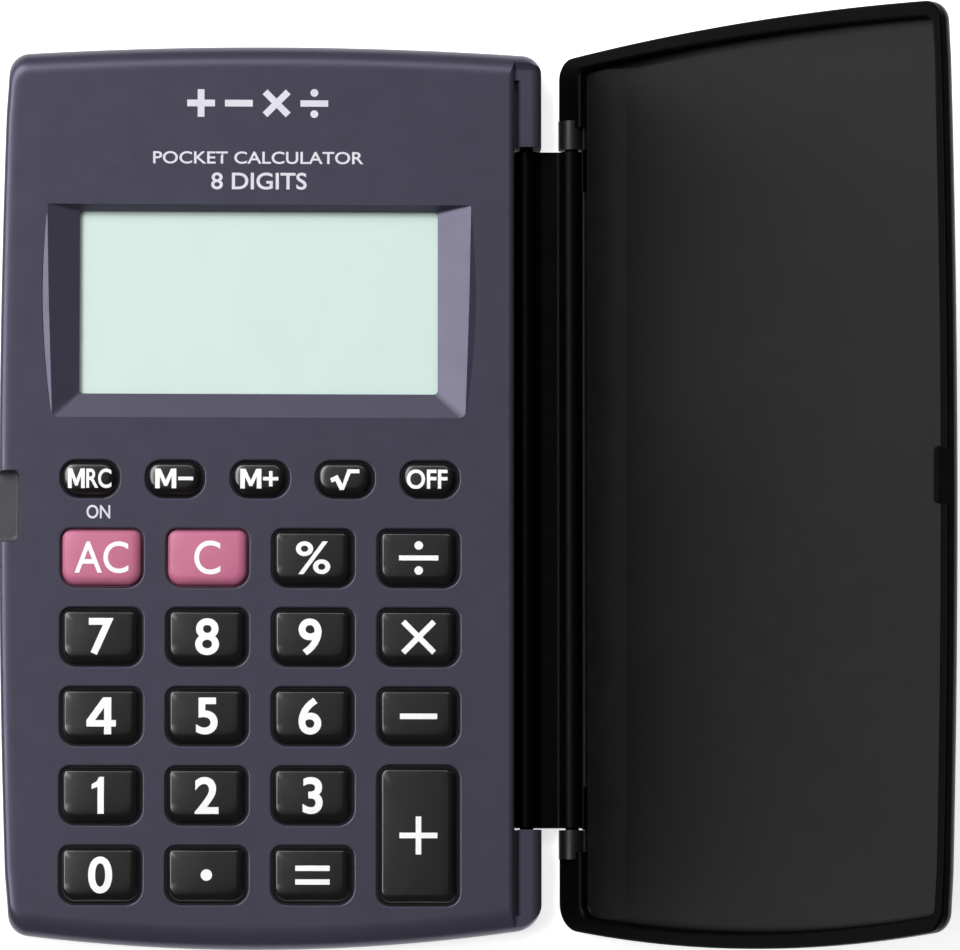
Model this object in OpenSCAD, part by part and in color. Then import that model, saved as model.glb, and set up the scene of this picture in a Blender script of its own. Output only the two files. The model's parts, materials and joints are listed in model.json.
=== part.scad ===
// Pocket calculator with a hard cover that folds on a double hinge.
// Frame: origin on the table under the middle of the body, +X towards the hinge,
// +Y towards the display end, +Z up out of the keys. All lengths are in millimetres.

/* [Body] */
// Length of the body, from the key end to the display end
body_l = 127; // [124:0.5:130]
// Width of the body, from the thumb edge to the hinge edge
body_w = 76; // [75.5:0.1:76.5]
// Height of the key face above the table
face_z = 7.4; // [7.3:0.05:7.5]
// Wall thickness of both shells
wall = 1.5; // [1.3:0.1:1.6]
// Height at which the two shells meet
split_z = 3.4; // [3.3:0.1:3.6]
// Radius in plan of the two corners on the thumb edge
thumb_corner_r = 3; // [2.5:0.1:3.5]
// Radius in plan of the two corners on the hinge edge
hinge_corner_r = 2.9; // [2.7:0.1:3.2]
// Width of the rounded shoulder along the thumb edge
shoulder_side = 5.3; // [4:0.1:5.5]
// Width of the rounded shoulder along the two ends
shoulder_end = 3.4; // [3:0.1:4]

/* [Hinge] */
// Radius of the cover's hinge edge about its axis
hinge_r = 2; // [1.9:0.05:2]
// Distance between the two axes of the hinge leaf
link_l = 6.4; // [6.4:0.1:6.8]
// Radius of the leaf's two barrels
barrel_r = 1.8; // [1.7:0.05:1.8]
// Radius of the stub axles at the ends of the barrels
stub_r = 0.95; // [0.8:0.05:1]
// Length of a stub axle
stub_l = 2.6; // [2:0.1:3]
// Radial play of a stub axle in its hole
stub_play = 0.05; // [0.02:0.01:0.08]
// Y of the leaf's end near the display
link_top = 49.1; // [48.5:0.1:49.2]
// Y of the leaf's end near the keys
link_bottom = -46.4; // [-46.5:0.1:-46]
// Lean of the open cover above the table, in degrees
cover_open = 50; // [0:1:90]

/* [Cover] */
// Thickness of the cover's panel
cover_panel_t = 1.2; // [1:0.1:1.3]
// Width of the cover's rim along its free edge
cover_rim_side = 1.6; // [1.4:0.1:2]
// Width of the cover's rim along its two ends
cover_rim_end = 2.2; // [1.8:0.1:2.4]
// Height of the rim's edge above the hinge axis, on the inner side
cover_rim_rise = 0.9; // [0.7:0.05:0.9]

/* [Display] */
// Left edge of the visible display
view_x0 = -26.9; // [-27.2:0.1:-26.5]
// Right edge of the visible display
view_x1 = 23.35; // [23:0.05:23.6]
// Bottom edge of the visible display
view_y0 = 14.3; // [14:0.1:14.6]
// Top edge of the visible display
view_y1 = 40; // [39.8:0.1:40.2]

/* [Keys] */
// Width of a large key's cap
key_w = 11; // [10.5:0.1:11.2]
// Depth of a large key's cap
key_d = 7.7; // [7.4:0.1:7.9]
// Width of a small key's cap
small_w = 7.7; // [7.6:0.1:8]
// Depth of a small key's cap
small_d = 4.75; // [4.7:0.05:5]
// Depth of the double-height key's cap
tall_d = 19.1; // [18.8:0.1:19.3]
// Gap all round between a cap and the face
key_gap = 0.25; // [0.15:0.05:0.3]
// Height of a cap's crown above the table
key_top = 8.6; // [8.2:0.1:8.7]
// X of the left column of large keys
column_x = -23.6; // [-23.9:0.1:-23.4]
// Spacing of the columns of large keys
column_pitch = 14.75; // [14.7:0.01:14.8]
// Y of the top row of large keys
row_y = -8.85; // [-9:0.05:-8.7]
// Spacing of the rows of large keys
row_pitch = 11.07; // [11:0.01:11.1]

/* [Inside] */
// Diameter of the button cell
cell_d = 11.6; // [11.4:0.1:11.6]
// Height of the button cell
cell_t = 3.1; // [2.6:0.1:3.1]
// Thickness of the circuit board
board_t = 0.8; // [0.6:0.1:0.8]
// Height of the circuit board's upper face above the table
board_top = 3; // [3:0.05:3.05]

/* [Hidden] */
eps = 0.01;
fine = 64;
FACE = [0.30, 0.28, 0.36];
BACK = [0.20, 0.20, 0.22];
BLACK = [0.09, 0.09, 0.10];
PINK = [0.84, 0.47, 0.58];
STEEL = [0.75, 0.76, 0.78];

// Plan of the body: three gently bowed edges and a straight hinge edge.
top_bow_r = 560;
bottom_bow_r = 262;
side_bow_r = 1580;
top_crest_x = 1;
bottom_crest_x = -2.2;
side_crest_y = 5;
hinge_edge_x = body_w / 2;

// The base axis of the leaf lies this far in from the hinge edge and above the table.
axis_a = [hinge_edge_x - hinge_r, hinge_r];
axis_b = [axis_a[0] + link_l, hinge_r];
// The body and its face stop here along the hinge edge, just clear of the leaf's barrel.
slot_play = 0.08;
slot_x = axis_a[0] - barrel_r - slot_play;
face_edge_x = slot_x;
end_gap = 0.3;
ledge_z = 6.2;
ledge_round = 1.5;
groove_w = 0.6;
groove_floor_z = 4;
groove_end_y = 58.8;
// Towards both ends the ledge climbs to the height of the face between these two distances.
ramp_start_y = 60;
ramp_end_y = 62.6;

// Shells
shoulder_z = 5;
// How square the shoulder along the thumb edge is: 2 is an ellipse, more is squarer.
side_power = 10;
// The two corners at the key end are rounder than those at the display end by this much.
low_corner_extra = 1.2;
foot_round = 1.2;
plate_z = 5.9;
floor_t = 1.2;
lip_t = 0.65;
lip_h = 0.7;
lip_play = 0.05;

// Thumb notch in the body and catch tab on the cover
notch_y0 = -6.5;
notch_y1 = 3.3;
notch_depth = 2.8;
notch_z = 5.6;
tab_y0 = -5;
tab_y1 = 2.6;
tab_t = 1.1;
tab_drop = 1.7;

// Display
bezel_lip_z = 6.2;
bezel_lip_t = 0.25;
bezel_left = 4.5;
bezel_right = 4.65;
bezel_top = 0.9;
bezel_bottom = 3.4;
bezel_taper = 0.8;
pane_margin = 1.4;
pane_t = 0.6;
pane_sink = 0.02;
pocket_play = 0.1;
pane_z = bezel_lip_z - bezel_lip_t - pane_t;
frame_margin = 5;
glass_margin = 2.4;
glass_t = 1.1;
glass_ledge = 2.2;
reflector_t = 0.1;

// Keys
cap_top_r = 1.2;
cap_bottom_r = 2;
small_top_r = 1.9;
small_bottom_r = 2.3;
tall_cap_r = 1.6;
crown_rise = 0.25;
flange_w = 0.6;
flange_t = 0.75;
flange_play = 0.05;
mat_t = 0.5;
dome_h = 1.6;
dome_r = 3;
small_dome_r = 2.3;
dome_top_r = 1.9;
dome_skin = 0.4;
pill_r = 1;
pill_t = 0.22;

small_y = 2.2;
small_x0 = -25.3;
small_pitch = 11.88;
tall_y = row_y - 3.5 * row_pitch;

// Each key: name, centre, cap size, radii of the upper and of the lower corners.
function large_key(name, column, row) =
    [name, [column_x + column * column_pitch, row_y - row * row_pitch], [key_w, key_d],
     cap_top_r, cap_bottom_r];
function small_key(name, column) =
    [name, [small_x0 + column * small_pitch, small_y], [small_w, small_d],
     small_top_r, small_bottom_r];
SMALL_NAMES = ["key_recall", "key_memory_minus", "key_memory_plus", "key_root", "key_off"];
LARGE_NAMES = [
    ["key_all_clear", "key_clear", "key_percent", "key_divide"],
    ["key_7", "key_8", "key_9", "key_times"],
    ["key_4", "key_5", "key_6", "key_minus"],
    ["key_1", "key_2", "key_3"],
    ["key_0", "key_point", "key_equals"]
];
TALL_KEY = ["key_plus", [column_x + 3 * column_pitch, tall_y], [key_w, tall_d], tall_cap_r, tall_cap_r];
KEYS = concat(
    [for (i = [0:4]) small_key(SMALL_NAMES[i], i)],
    [for (row = [0:4]) for (column = [0:len(LARGE_NAMES[row]) - 1])
        large_key(LARGE_NAMES[row][column], column, row)],
    [TALL_KEY]
);

// Screws
screw_r = 0.8;
screw_head_r = 1.6;
screw_boss_r = 2;
screw_play = 0.02;
screw_room = 0.15;
screw_seat_z = 1;
case_thread_l = 3.5;
board_thread_l = 3.2;
stub_hole_l = 5;
floor_rib_x = [-16.5, 13.2];
floor_rib_w = 0.8;
floor_rib_y0 = -54;
floor_rib_y1 = 38;
case_screw_at = [[-33, 56.8], [29.8, 56.8], [-33, -56.2], [29.8, -56.2]];
board_screw_r = 0.5;
board_screw_head_r = 1.1;
board_boss_r = 1.3;
case_screw_z = 0.35;
case_screw_l = 4.9;
case_screw_room = 0.3;
board_screw_head_t = 0.6;
board_screw_l = 3.4;
board_screw_room = 0.1;
board_screw_at = [for (x = [-32.9, 29.6]) for (y = [9, -14, -36.2]) [x, y]];

// Battery compartment
cell_at = [-14, 52.4];
cell_z = 2;
door_r = 7;
door_play = 0.05;
door_face_z = 0.1;
door_tab_r = 8.2;
door_tab_half = 14;
door_turn = 60;
board_x0 = -34.8;
board_x1 = 31.4;
board_y0 = -58.6;
board_y1 = 59.6;
board_cut = 2;
cell_hole_r = 6.4;
cell_cap_r = 4.3;
cell_cap_t = 0.35;
cell_chamfer = 0.3;
cell_shoulder = [0.5, 0.2];
leaf_t = 0.2;
negative_foot_l = 3.5;
negative_half_w = 2;
positive_foot_l = 4;
positive_half_w = 1.5;
positive_low = 0.6;
positive_high = 2.2;
chip_at = [6, -14];
chip_drop_r = 4.5;
chip_drop_h = 0.8;
chip_part_at = [[4, 50], [9, 50], [14, 53.5], [19, 53.5]];
chip_part_half = [1, 0.6];
chip_part_h = 0.7;
rib_play = 0.1;
gate_play = 0.15;
gate_extra = 2;
mat_x = [-30.6, 27.4];
mat_y = [-57.6, 6.4];

// Hinge leaf and cover
leaf_low = -barrel_r;
leaf_high = 0.6;
cover_edge_round = 1.6;
cover_end = body_w - hinge_r;
cover_floor = cover_panel_t - hinge_r;
hinge_rim_end = 2.75;
panel_start = 1.9;
channel_w = 0.95;
channel_floor = -0.6;
rib_start = 2.3;
thick_zone_end = 6.8;
slope_end = 10.6;
thick_zone_rise = 0.45;
knuckle_l = 3.1;
knuckle_r = hinge_r - 0.1;
rib_l = 6;
rib_w = 0.5;
rib_rise = 0.45;

// ---- Outline -------------------------------------------------------------------------------

function top_y(x) = body_l / 2 - pow(x - top_crest_x, 2) / (2 * top_bow_r);
function bottom_y(x) = -body_l / 2 + pow(x - bottom_crest_x, 2) / (2 * bottom_bow_r);
function side_x(y) = -body_w / 2 + pow(y - side_crest_y, 2) / (2 * side_bow_r);
// Direction of the outward normal of each end edge, in degrees.
function top_normal(x) = 90 - atan((x - top_crest_x) / top_bow_r);
function bottom_normal(x) = 270 + atan((x - bottom_crest_x) / bottom_bow_r);

function arc_points(c, r, a0, a1, steps = 6) =
    [for (i = [0:steps]) let (a = a0 + (a1 - a0) * i / steps) c + r * [cos(a), sin(a)]];

// Centre of a corner arc that touches an end edge, moved in by end_in.
function top_centre(x, r, end_in) =
    let (a = top_normal(x)) [x, top_y(x + r * cos(a)) - end_in - r * sin(a)];
function bottom_centre(x, r, end_in) =
    let (a = bottom_normal(x)) [x, bottom_y(x + r * cos(a)) + end_in - r * sin(a)];

// The outline moved in by side_in on the thumb edge and end_in on both ends, up to x = right_x.
function plan_points(side_in, end_in, right_x = hinge_edge_x, right_r = hinge_corner_r) =
    let (
        left_r = max(thumb_corner_r - side_in, 0.8),
        right_corner = max(right_r, 0.4),
        left_top_x = side_x(body_l / 2) + side_in + left_r,
        left_bottom_x = side_x(-body_l / 2) + side_in + left_r,
        right_c = right_x - right_corner,
        low_corner = right_corner + low_corner_extra,
        low_c = right_x - low_corner,
        top_right = top_centre(right_c, right_corner, end_in),
        top_left = top_centre(left_top_x, left_r, end_in),
        bottom_left = bottom_centre(left_bottom_x, left_r, end_in),
        bottom_right = bottom_centre(low_c, low_corner, end_in),
        steps = 8
    )
    concat(
        arc_points(top_right, right_corner, 0, top_normal(right_c)),
        [for (i = [1:steps - 1]) let (x = right_c + (left_top_x - right_c) * i / steps)
            [x, top_y(x) - end_in]],
        arc_points(top_left, left_r, top_normal(left_top_x), 180),
        [for (i = [1:steps - 1]) let (y = top_left[1] + (bottom_left[1] - top_left[1]) * i / steps)
            [side_x(y) + side_in, y]],
        arc_points(bottom_left, left_r, 180, bottom_normal(left_bottom_x)),
        [for (i = [1:steps - 1]) let (x = left_bottom_x + (low_c - left_bottom_x) * i / steps)
            [x, bottom_y(x) + end_in]],
        arc_points(bottom_right, low_corner, bottom_normal(low_c), 360)
    );

// The same outline as seen by the cover, with its length measured from its own hinge axis.
function cover_points(side_in, end_in, hinge_in) =
    let (plan = plan_points(side_in, end_in, hinge_edge_x - hinge_in,
                            hinge_corner_r - min(end_in, 2)))
    [for (i = [len(plan) - 1:-1:0]) [axis_a[0] - plan[i][0], plan[i][1]]];

// A closed skin through outlines of equal length, one above the other.
module loft(outlines, heights) {
    n = len(outlines[0]);
    last = len(outlines) - 1;
    polyhedron(
        points = [for (k = [0:last]) for (p = outlines[k]) [p[0], p[1], heights[k]]],
        faces = concat(
            [[for (i = [0:n - 1]) i]],
            [for (k = [0:last - 1]) for (i = [0:n - 1])
                [k * n + i, (k + 1) * n + i, (k + 1) * n + (i + 1) % n, k * n + (i + 1) % n]],
            [[for (i = [n - 1:-1:0]) last * n + i]]
        )
    );
}

// A thin slab at a height, for hulls over several levels.
module slab(points, z) {
    translate([0, 0, z])
        linear_extrude(eps)
            polygon(points);
}

module box(x0, x1, y0, y1, z0, z1) {
    translate([x0, y0, z0])
        cube([x1 - x0, y1 - y0, z1 - z0]);
}

module along_y(y0, y1) {
    // Turns an (x, z) profile so that it runs from y0 to y1.
    translate([0, y1, 0])
        rotate([90, 0, 0])
            linear_extrude(y1 - y0)
                children();
}

// A cap's plan: a rounded rectangle whose upper and lower corners differ.
module cap_plan(size, r_top, r_bottom, grow = 0) {
    w = size[0] / 2 + grow;
    d = size[1] / 2 + grow;
    rt = r_top + grow;
    rb = r_bottom + grow;
    union() {
        polygon([
            [-w, d - rt], [-w + rt, d], [w - rt, d], [w, d - rt],
            [w, -d + rb], [w - rb, -d], [-w + rb, -d], [-w, -d + rb]
        ]);
        for (side = [-1, 1]) {
            translate([side * (w - rt), d - rt])
                circle(r = rt, $fn = fine);
            translate([side * (w - rb), -d + rb])
                circle(r = rb, $fn = fine);
        }
    }
}

// ---- Shells --------------------------------------------------------------------------------

// Outer form of the upper shell: straight sides, then a rounded shoulder up to the flat face.
module upper_form() {
    turns = [for (i = [0:4]) 90 * i / 4];
    loft(
        concat(
            [plan_points(0, 0)],
            [for (t = turns)
                plan_points(shoulder_side * (1 - pow(1 - pow(sin(t), side_power), 1 / side_power)),
                            shoulder_end * (1 - cos(t)))]
        ),
        concat([split_z], [for (t = turns) shoulder_z + (face_z - shoulder_z) * sin(t)])
    );
}

// Outer form of the lower shell: a flat foot with a rounded edge.
module lower_form() {
    turns = [0, 30, 60, 90];
    inward = [for (t = turns) foot_round * (1 - sin(t))];
    loft(
        concat([for (i = inward) plan_points(i, i)], [plan_points(0, 0)]),
        concat([for (t = turns) foot_round * (1 - cos(t))], [split_z])
    );
}

module cavity_plan(inward) {
    polygon(plan_points(inward, inward, slot_x - inward, thumb_corner_r - inward));
}

// The space along the body's hinge edge that the leaf turns in.
module leaf_slot() {
    box(slot_x, hinge_edge_x + 1, link_bottom - end_gap, link_top + end_gap, -1, face_z + 1);
}

// Section of what is taken off beside the leaf, down to a ledge at height z with a rounded edge.
function ledge_profile(z) =
    let (top = face_z + 1, right = hinge_edge_x)
    concat(
        [[face_edge_x, z]],
        [for (p = arc_points([right - ledge_round, z - ledge_round], ledge_round, 90, 0)) p],
        [[right + 1, z - ledge_round], [right + 1, top], [face_edge_x, top]]
    );

// What is taken off the upper shell to leave two low rounded ledges beside the leaf.
module ledge_cut() {
    end_y = body_l / 2 + 1;
    rotate([90, 0, 0])
        loft(
            [ledge_profile(face_z), ledge_profile(face_z), ledge_profile(ledge_z),
             ledge_profile(ledge_z), ledge_profile(face_z), ledge_profile(face_z)],
            [-end_y, -ramp_end_y, -ramp_start_y, ramp_start_y, ramp_end_y, end_y]
        );
    for (y = [[link_top, groove_end_y], [-groove_end_y, link_bottom]])
        box(face_edge_x, face_edge_x + groove_w, y[0], y[1], groove_floor_z, face_z + 1);
}

module thumb_notch() {
    box(-body_w / 2 - 1, -body_w / 2 + notch_depth, notch_y0, notch_y1, notch_z, face_z + 1);
}

// The sloped surround that leads from the face down to the display.
module display_funnel() {
    outer = [
        [view_x0 - bezel_left, view_y1 + bezel_top],
        [view_x1 + bezel_right, view_y1 + bezel_top],
        [view_x1 + bezel_right - bezel_taper / 3, (view_y0 + view_y1) / 2],
        [view_x1 + bezel_right - bezel_taper, view_y0 - bezel_bottom],
        [view_x0 - bezel_left + bezel_taper, view_y0 - bezel_bottom],
        [view_x0 - bezel_left + bezel_taper / 3, (view_y0 + view_y1) / 2]
    ];
    view = [[view_x0, view_y1], [view_x1, view_y1], [view_x1, view_y0], [view_x0, view_y0]];
    hull() {
        slab(outer, face_z);
        slab(view, bezel_lip_z);
    }
    box(view_x0, view_x1, view_y0, view_y1, pane_z, bezel_lip_z + eps);
}

module key_openings() {
    for (key = KEYS)
        translate([key[1][0], key[1][1], plate_z - 1])
            linear_extrude(face_z - plate_z + 2)
                cap_plan(key[2], key[3], key[4], key_gap);
}

module upper_case() {
    color(FACE)
        difference() {
            union() {
                difference() {
                    upper_form();
                    translate([0, 0, split_z - 1])
                        linear_extrude(plate_z - split_z + 1)
                            cavity_plan(wall);
                    translate([0, 0, split_z - 1])
                        linear_extrude(lip_h + lip_play + 1)
                            cavity_plan(wall - lip_t - lip_play);
                }
                // Wall behind the thumb notch.
                box(-body_w / 2 + wall / 2, -body_w / 2 + notch_depth + wall,
                    notch_y0 - wall, notch_y1 + wall, split_z + lip_h + lip_play, plate_z + 1);
                // Frame that holds the pane from behind.
                box(view_x0 - frame_margin, view_x1 + frame_margin,
                    view_y0 - frame_margin + 1, view_y1 + pane_margin + 1, pane_z, plate_z);
                for (at = case_screw_at)
                    translate([at[0], at[1], board_top])
                        cylinder(r = screw_boss_r, h = plate_z - board_top, $fn = fine);
                for (at = board_screw_at)
                    translate([at[0], at[1], board_top])
                        cylinder(r = board_boss_r, h = plate_z - board_top, $fn = fine);
            }
            leaf_slot();
            ledge_cut();
            thumb_notch();
            display_funnel();
            key_openings();
            // Pocket for the pane.
            box(view_x0 - pane_margin - pocket_play, view_x1 + pane_margin + pocket_play,
                view_y0 - pane_margin - pocket_play, view_y1 + pane_margin + pocket_play,
                pane_z - 1, pane_z + pane_t);
            for (at = case_screw_at)
                translate([at[0], at[1], board_top - 1])
                    cylinder(r = screw_r + screw_play, h = case_thread_l, $fn = fine);
            for (at = board_screw_at)
                translate([at[0], at[1], board_top - 1])
                    cylinder(r = board_screw_r + screw_play, h = board_thread_l, $fn = fine);
        }
}

module lower_case() {
    color(BACK)
        difference() {
            union() {
                difference() {
                    lower_form();
                    translate([0, 0, floor_t])
                        linear_extrude(split_z)
                            cavity_plan(wall);
                }
                // Lip that locates the upper shell.
                translate([0, 0, split_z - 1])
                    linear_extrude(lip_h + 1)
                        difference() {
                            cavity_plan(wall - lip_t);
                            cavity_plan(wall);
                        }
                for (at = case_screw_at)
                    translate([at[0], at[1], floor_t - eps])
                        cylinder(r = screw_boss_r, h = board_top - board_t - floor_t, $fn = fine);
                // Ribs under the circuit board.
                for (x = floor_rib_x)
                    box(x - floor_rib_w / 2, x + floor_rib_w / 2, floor_rib_y0, floor_rib_y1,
                        floor_t - eps, board_top - board_t - rib_play);
            }
            leaf_slot();
            // Holes for the stub axles of the leaf.
            translate([axis_a[0], link_top + stub_hole_l, axis_a[1]])
                rotate([90, 0, 0])
                    cylinder(r = stub_r + stub_play, h = link_top - link_bottom + 2 * stub_hole_l,
                             $fn = fine);
            for (at = case_screw_at)
                translate([at[0], at[1], -1]) {
                    cylinder(r = screw_r + screw_room, h = split_z + 1, $fn = fine);
                    cylinder(r = screw_head_r + screw_room, h = screw_seat_z + 1, $fn = fine);
                }
            // Opening for the battery door, with two gates for its tabs.
            translate([cell_at[0], cell_at[1], -1])
                cylinder(r = door_r + door_play, h = floor_t + 2, $fn = fine);
            for (side = [0, 180])
                translate([cell_at[0], cell_at[1], -1])
                    rotate([0, 0, side + door_turn])
                        linear_extrude(floor_t + 2)
                            sector(door_tab_r + gate_play, door_tab_half + gate_extra);
        }
}

// A pie slice about +X, reaching half degrees to each side.
module sector(r, half) {
    intersection() {
        circle(r = r, $fn = fine);
        polygon([[0, 0], [2 * r, -2 * r * tan(half)], [2 * r, 2 * r * tan(half)]]);
    }
}

// ---- Display -------------------------------------------------------------------------------

module display_window() {
    color([0.80, 0.90, 0.88, 0.4])
        box(view_x0 - pane_margin, view_x1 + pane_margin, view_y0 - pane_margin, view_y1 + pane_margin,
            pane_z, pane_z + pane_t - pane_sink);
}

glass_x0 = view_x0 - glass_margin;
glass_x1 = view_x1 + glass_margin;
glass_y0 = view_y0 - glass_margin;
glass_y1 = view_y1 + glass_margin;
glass_z = board_top + reflector_t;
reflector_in = 0.5;
ribbon_in = 8;
ribbon_t = 0.12;
ribbon_foot = 2.4;
ribbon_bend = 0.4;
ribbon_lap = 0.3;

module lcd_panel() {
    color([0.82, 0.91, 0.88])
        union() {
            box(glass_x0, glass_x1, glass_y0, glass_y1, glass_z, glass_z + glass_t);
            box(glass_x0, glass_x1, glass_y0 + glass_ledge, glass_y1,
                glass_z + glass_t - eps, glass_z + 2 * glass_t);
        }
}

module lcd_reflector() {
    color(STEEL)
        box(glass_x0 + reflector_in, glass_x1 - reflector_in,
            glass_y0 + reflector_in, glass_y1 - reflector_in, board_top, glass_z);
}

// Heat-sealed film that carries the display's lines from the glass to the board.
module display_ribbon() {
    glass_face = glass_z + glass_t;
    glass_end = glass_y0 + glass_ledge - ribbon_lap;
    board_end = glass_y0 - ribbon_foot;
    bend = glass_y0 - ribbon_bend;
    color([0.75, 0.55, 0.20])
        translate([glass_x1 - ribbon_in, 0, 0])
            rotate([90, 0, -90])
                linear_extrude(glass_x1 - glass_x0 - 2 * ribbon_in)
                    polygon([
                        [-glass_end, glass_face],
                        [-glass_end, glass_face + ribbon_t],
                        [-bend + ribbon_t, glass_face + ribbon_t],
                        [-bend + ribbon_t, board_top + ribbon_t],
                        [-board_end, board_top + ribbon_t],
                        [-board_end, board_top],
                        [-bend, board_top],
                        [-bend, glass_face]
                    ]);
}

// ---- Circuit board -------------------------------------------------------------------------

module circuit_board() {
    color([0.16, 0.36, 0.20])
        difference() {
            translate([0, 0, board_top - board_t])
                linear_extrude(board_t)
                    polygon([
                        [board_x0 + board_cut, board_y0], [board_x1 - board_cut, board_y0],
                        [board_x1, board_y0 + board_cut], [board_x1, board_y1 - board_cut],
                        [board_x1 - board_cut, board_y1], [board_x0 + board_cut, board_y1],
                        [board_x0, board_y1 - board_cut], [board_x0, board_y0 + board_cut]
                    ]);
            translate([cell_at[0], cell_at[1], 0])
                cylinder(r = cell_hole_r, h = board_top + 1, $fn = fine);
            for (at = case_screw_at)
                translate([at[0], at[1], 0])
                    cylinder(r = screw_r + case_screw_room, h = board_top + 1, $fn = fine);
            for (at = board_screw_at)
                translate([at[0], at[1], 0])
                    cylinder(r = board_screw_r + board_screw_room, h = board_top + 1, $fn = fine);
        }
}

// A domed drop of black resin over the chip, on the board's lower face.
module controller_chip() {
    steps = 4;
    color(BLACK)
        translate([chip_at[0], chip_at[1], board_top - board_t])
            rotate_extrude($fn = fine)
                polygon(concat([[0, 0]], [for (i = [0:steps])
                    [chip_drop_r * cos(90 * i / steps), -chip_drop_h * sin(90 * i / steps)]]));
}

module chip_parts() {
    color([0.55, 0.45, 0.35])
        for (at = chip_part_at)
            box(at[0] - chip_part_half[0], at[0] + chip_part_half[0],
                at[1] - chip_part_half[1], at[1] + chip_part_half[1],
                board_top, board_top + chip_part_h);
}

// ---- Screws --------------------------------------------------------------------------------

// A screw that points up, with its head's face at z = 0 and a crossed slot in it.
module screw(shank_r, head_r, head_t, length) {
    difference() {
        rotate_extrude($fn = fine)
            polygon([
                [0, 0], [head_r, 0], [head_r, head_t], [shank_r, head_t],
                [shank_r, length - shank_r], [shank_r / 2, length], [0, length]
            ]);
        for (turn = [0, 90])
            rotate([0, 0, turn])
                box(-head_r * 0.6, head_r * 0.6, -head_r / 8, head_r / 8, -1, head_t * 0.6);
    }
}

module case_screws() {
    color(STEEL)
        for (at = case_screw_at)
            translate([at[0], at[1], case_screw_z])
                screw(screw_r, screw_head_r, screw_seat_z - case_screw_z, case_screw_l);
}

module board_screws() {
    color(STEEL)
        for (at = board_screw_at)
            translate([at[0], at[1], board_top - board_t - board_screw_head_t])
                screw(board_screw_r, board_screw_head_r, board_screw_head_t, board_screw_l);
}

// ---- Keys ----------------------------------------------------------------------------------

function key_dome_r(key) = key[2][1] < key_d ? small_dome_r : dome_r;

// A key: crowned cap, flange that stays under the face, and the foot that presses the dome.
module key_body(name, shade) {
    key = KEYS[search([name], KEYS)[0]];
    flange_z = plate_z - flange_play - flange_t;
    crown_r = (pow(key[2][0] / 2, 2) + pow(crown_rise, 2)) / (2 * crown_rise);
    color(shade)
        translate([key[1][0], key[1][1], 0])
            union() {
                intersection() {
                    translate([0, 0, flange_z])
                        linear_extrude(key_top - flange_z)
                            cap_plan(key[2], key[3], key[4]);
                    translate([0, key[2][1], key_top - crown_r])
                        rotate([90, 0, 0])
                            cylinder(r = crown_r, h = 2 * key[2][1], $fn = fine);
                }
                translate([0, 0, flange_z])
                    linear_extrude(flange_t)
                        cap_plan(key[2], key[3], key[4], flange_w);
                translate([0, 0, board_top + dome_h])
                    cylinder(r = dome_top_r - 0.1, h = flange_z - board_top - dome_h + eps, $fn = fine);
            }
}

// The silicone sheet: a web on the board with a hollow dome under each key.
module key_mat() {
    color([0.78, 0.78, 0.76])
        difference() {
            union() {
                box(mat_x[0], mat_x[1], mat_y[0], mat_y[1], board_top, board_top + mat_t);
                for (key = KEYS)
                    translate([key[1][0], key[1][1], board_top])
                        cylinder(r1 = key_dome_r(key), r2 = dome_top_r, h = dome_h, $fn = fine);
            }
            for (key = KEYS)
                translate([key[1][0], key[1][1], board_top - eps])
                    cylinder(r1 = key_dome_r(key) - dome_skin, r2 = dome_top_r - dome_skin,
                             h = dome_h - dome_skin, $fn = fine);
        }
}

module contact_pills() {
    color(BLACK)
        for (key = KEYS)
            translate([key[1][0], key[1][1], board_top + dome_h - dome_skin - pill_t - eps])
                cylinder(r = pill_r, h = pill_t, $fn = fine);
}

// ---- Battery -------------------------------------------------------------------------------

module button_cell() {
    can_r = cell_d / 2;
    can_t = cell_t - cell_cap_t;
    color(STEEL)
        translate([cell_at[0], cell_at[1], cell_z])
            rotate_extrude($fn = fine)
                polygon([
                    [0, 0], [can_r - cell_chamfer, 0], [can_r, cell_chamfer],
                    [can_r, can_t - cell_shoulder[1]], [can_r - cell_shoulder[0], can_t],
                    [cell_cap_r, can_t], [cell_cap_r, cell_t], [0, cell_t]
                ]);
}

// Leaf over the cell's cap, with its foot on the board.
module battery_contact_negative() {
    over_cell = cell_z + cell_t;
    foot_x = cell_at[0] + cell_hole_r + 0.6;
    tip_x = cell_at[0] - 2;
    color(STEEL)
        along_y(cell_at[1] - negative_half_w, cell_at[1] + negative_half_w)
            polygon([
                [tip_x, over_cell], [foot_x, over_cell], [foot_x, board_top],
                [foot_x + negative_foot_l, board_top],
                [foot_x + negative_foot_l, board_top + leaf_t],
                [foot_x + leaf_t, board_top + leaf_t], [foot_x + leaf_t, over_cell + leaf_t],
                [tip_x, over_cell + leaf_t]
            ]);
}

// Upright leaf against the cell's can, with its foot on the board.
module battery_contact_positive() {
    can_x = cell_at[0] - cell_d / 2;
    color(STEEL)
        along_y(cell_at[1] - positive_half_w, cell_at[1] + positive_half_w)
            polygon([
                [can_x, cell_z + positive_low], [can_x, cell_z + positive_high],
                [can_x - leaf_t, cell_z + positive_high], [can_x - leaf_t, board_top + leaf_t],
                [can_x - positive_foot_l, board_top + leaf_t], [can_x - positive_foot_l, board_top],
                [can_x - leaf_t, board_top], [can_x - leaf_t, cell_z + positive_low]
            ]);
}

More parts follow.
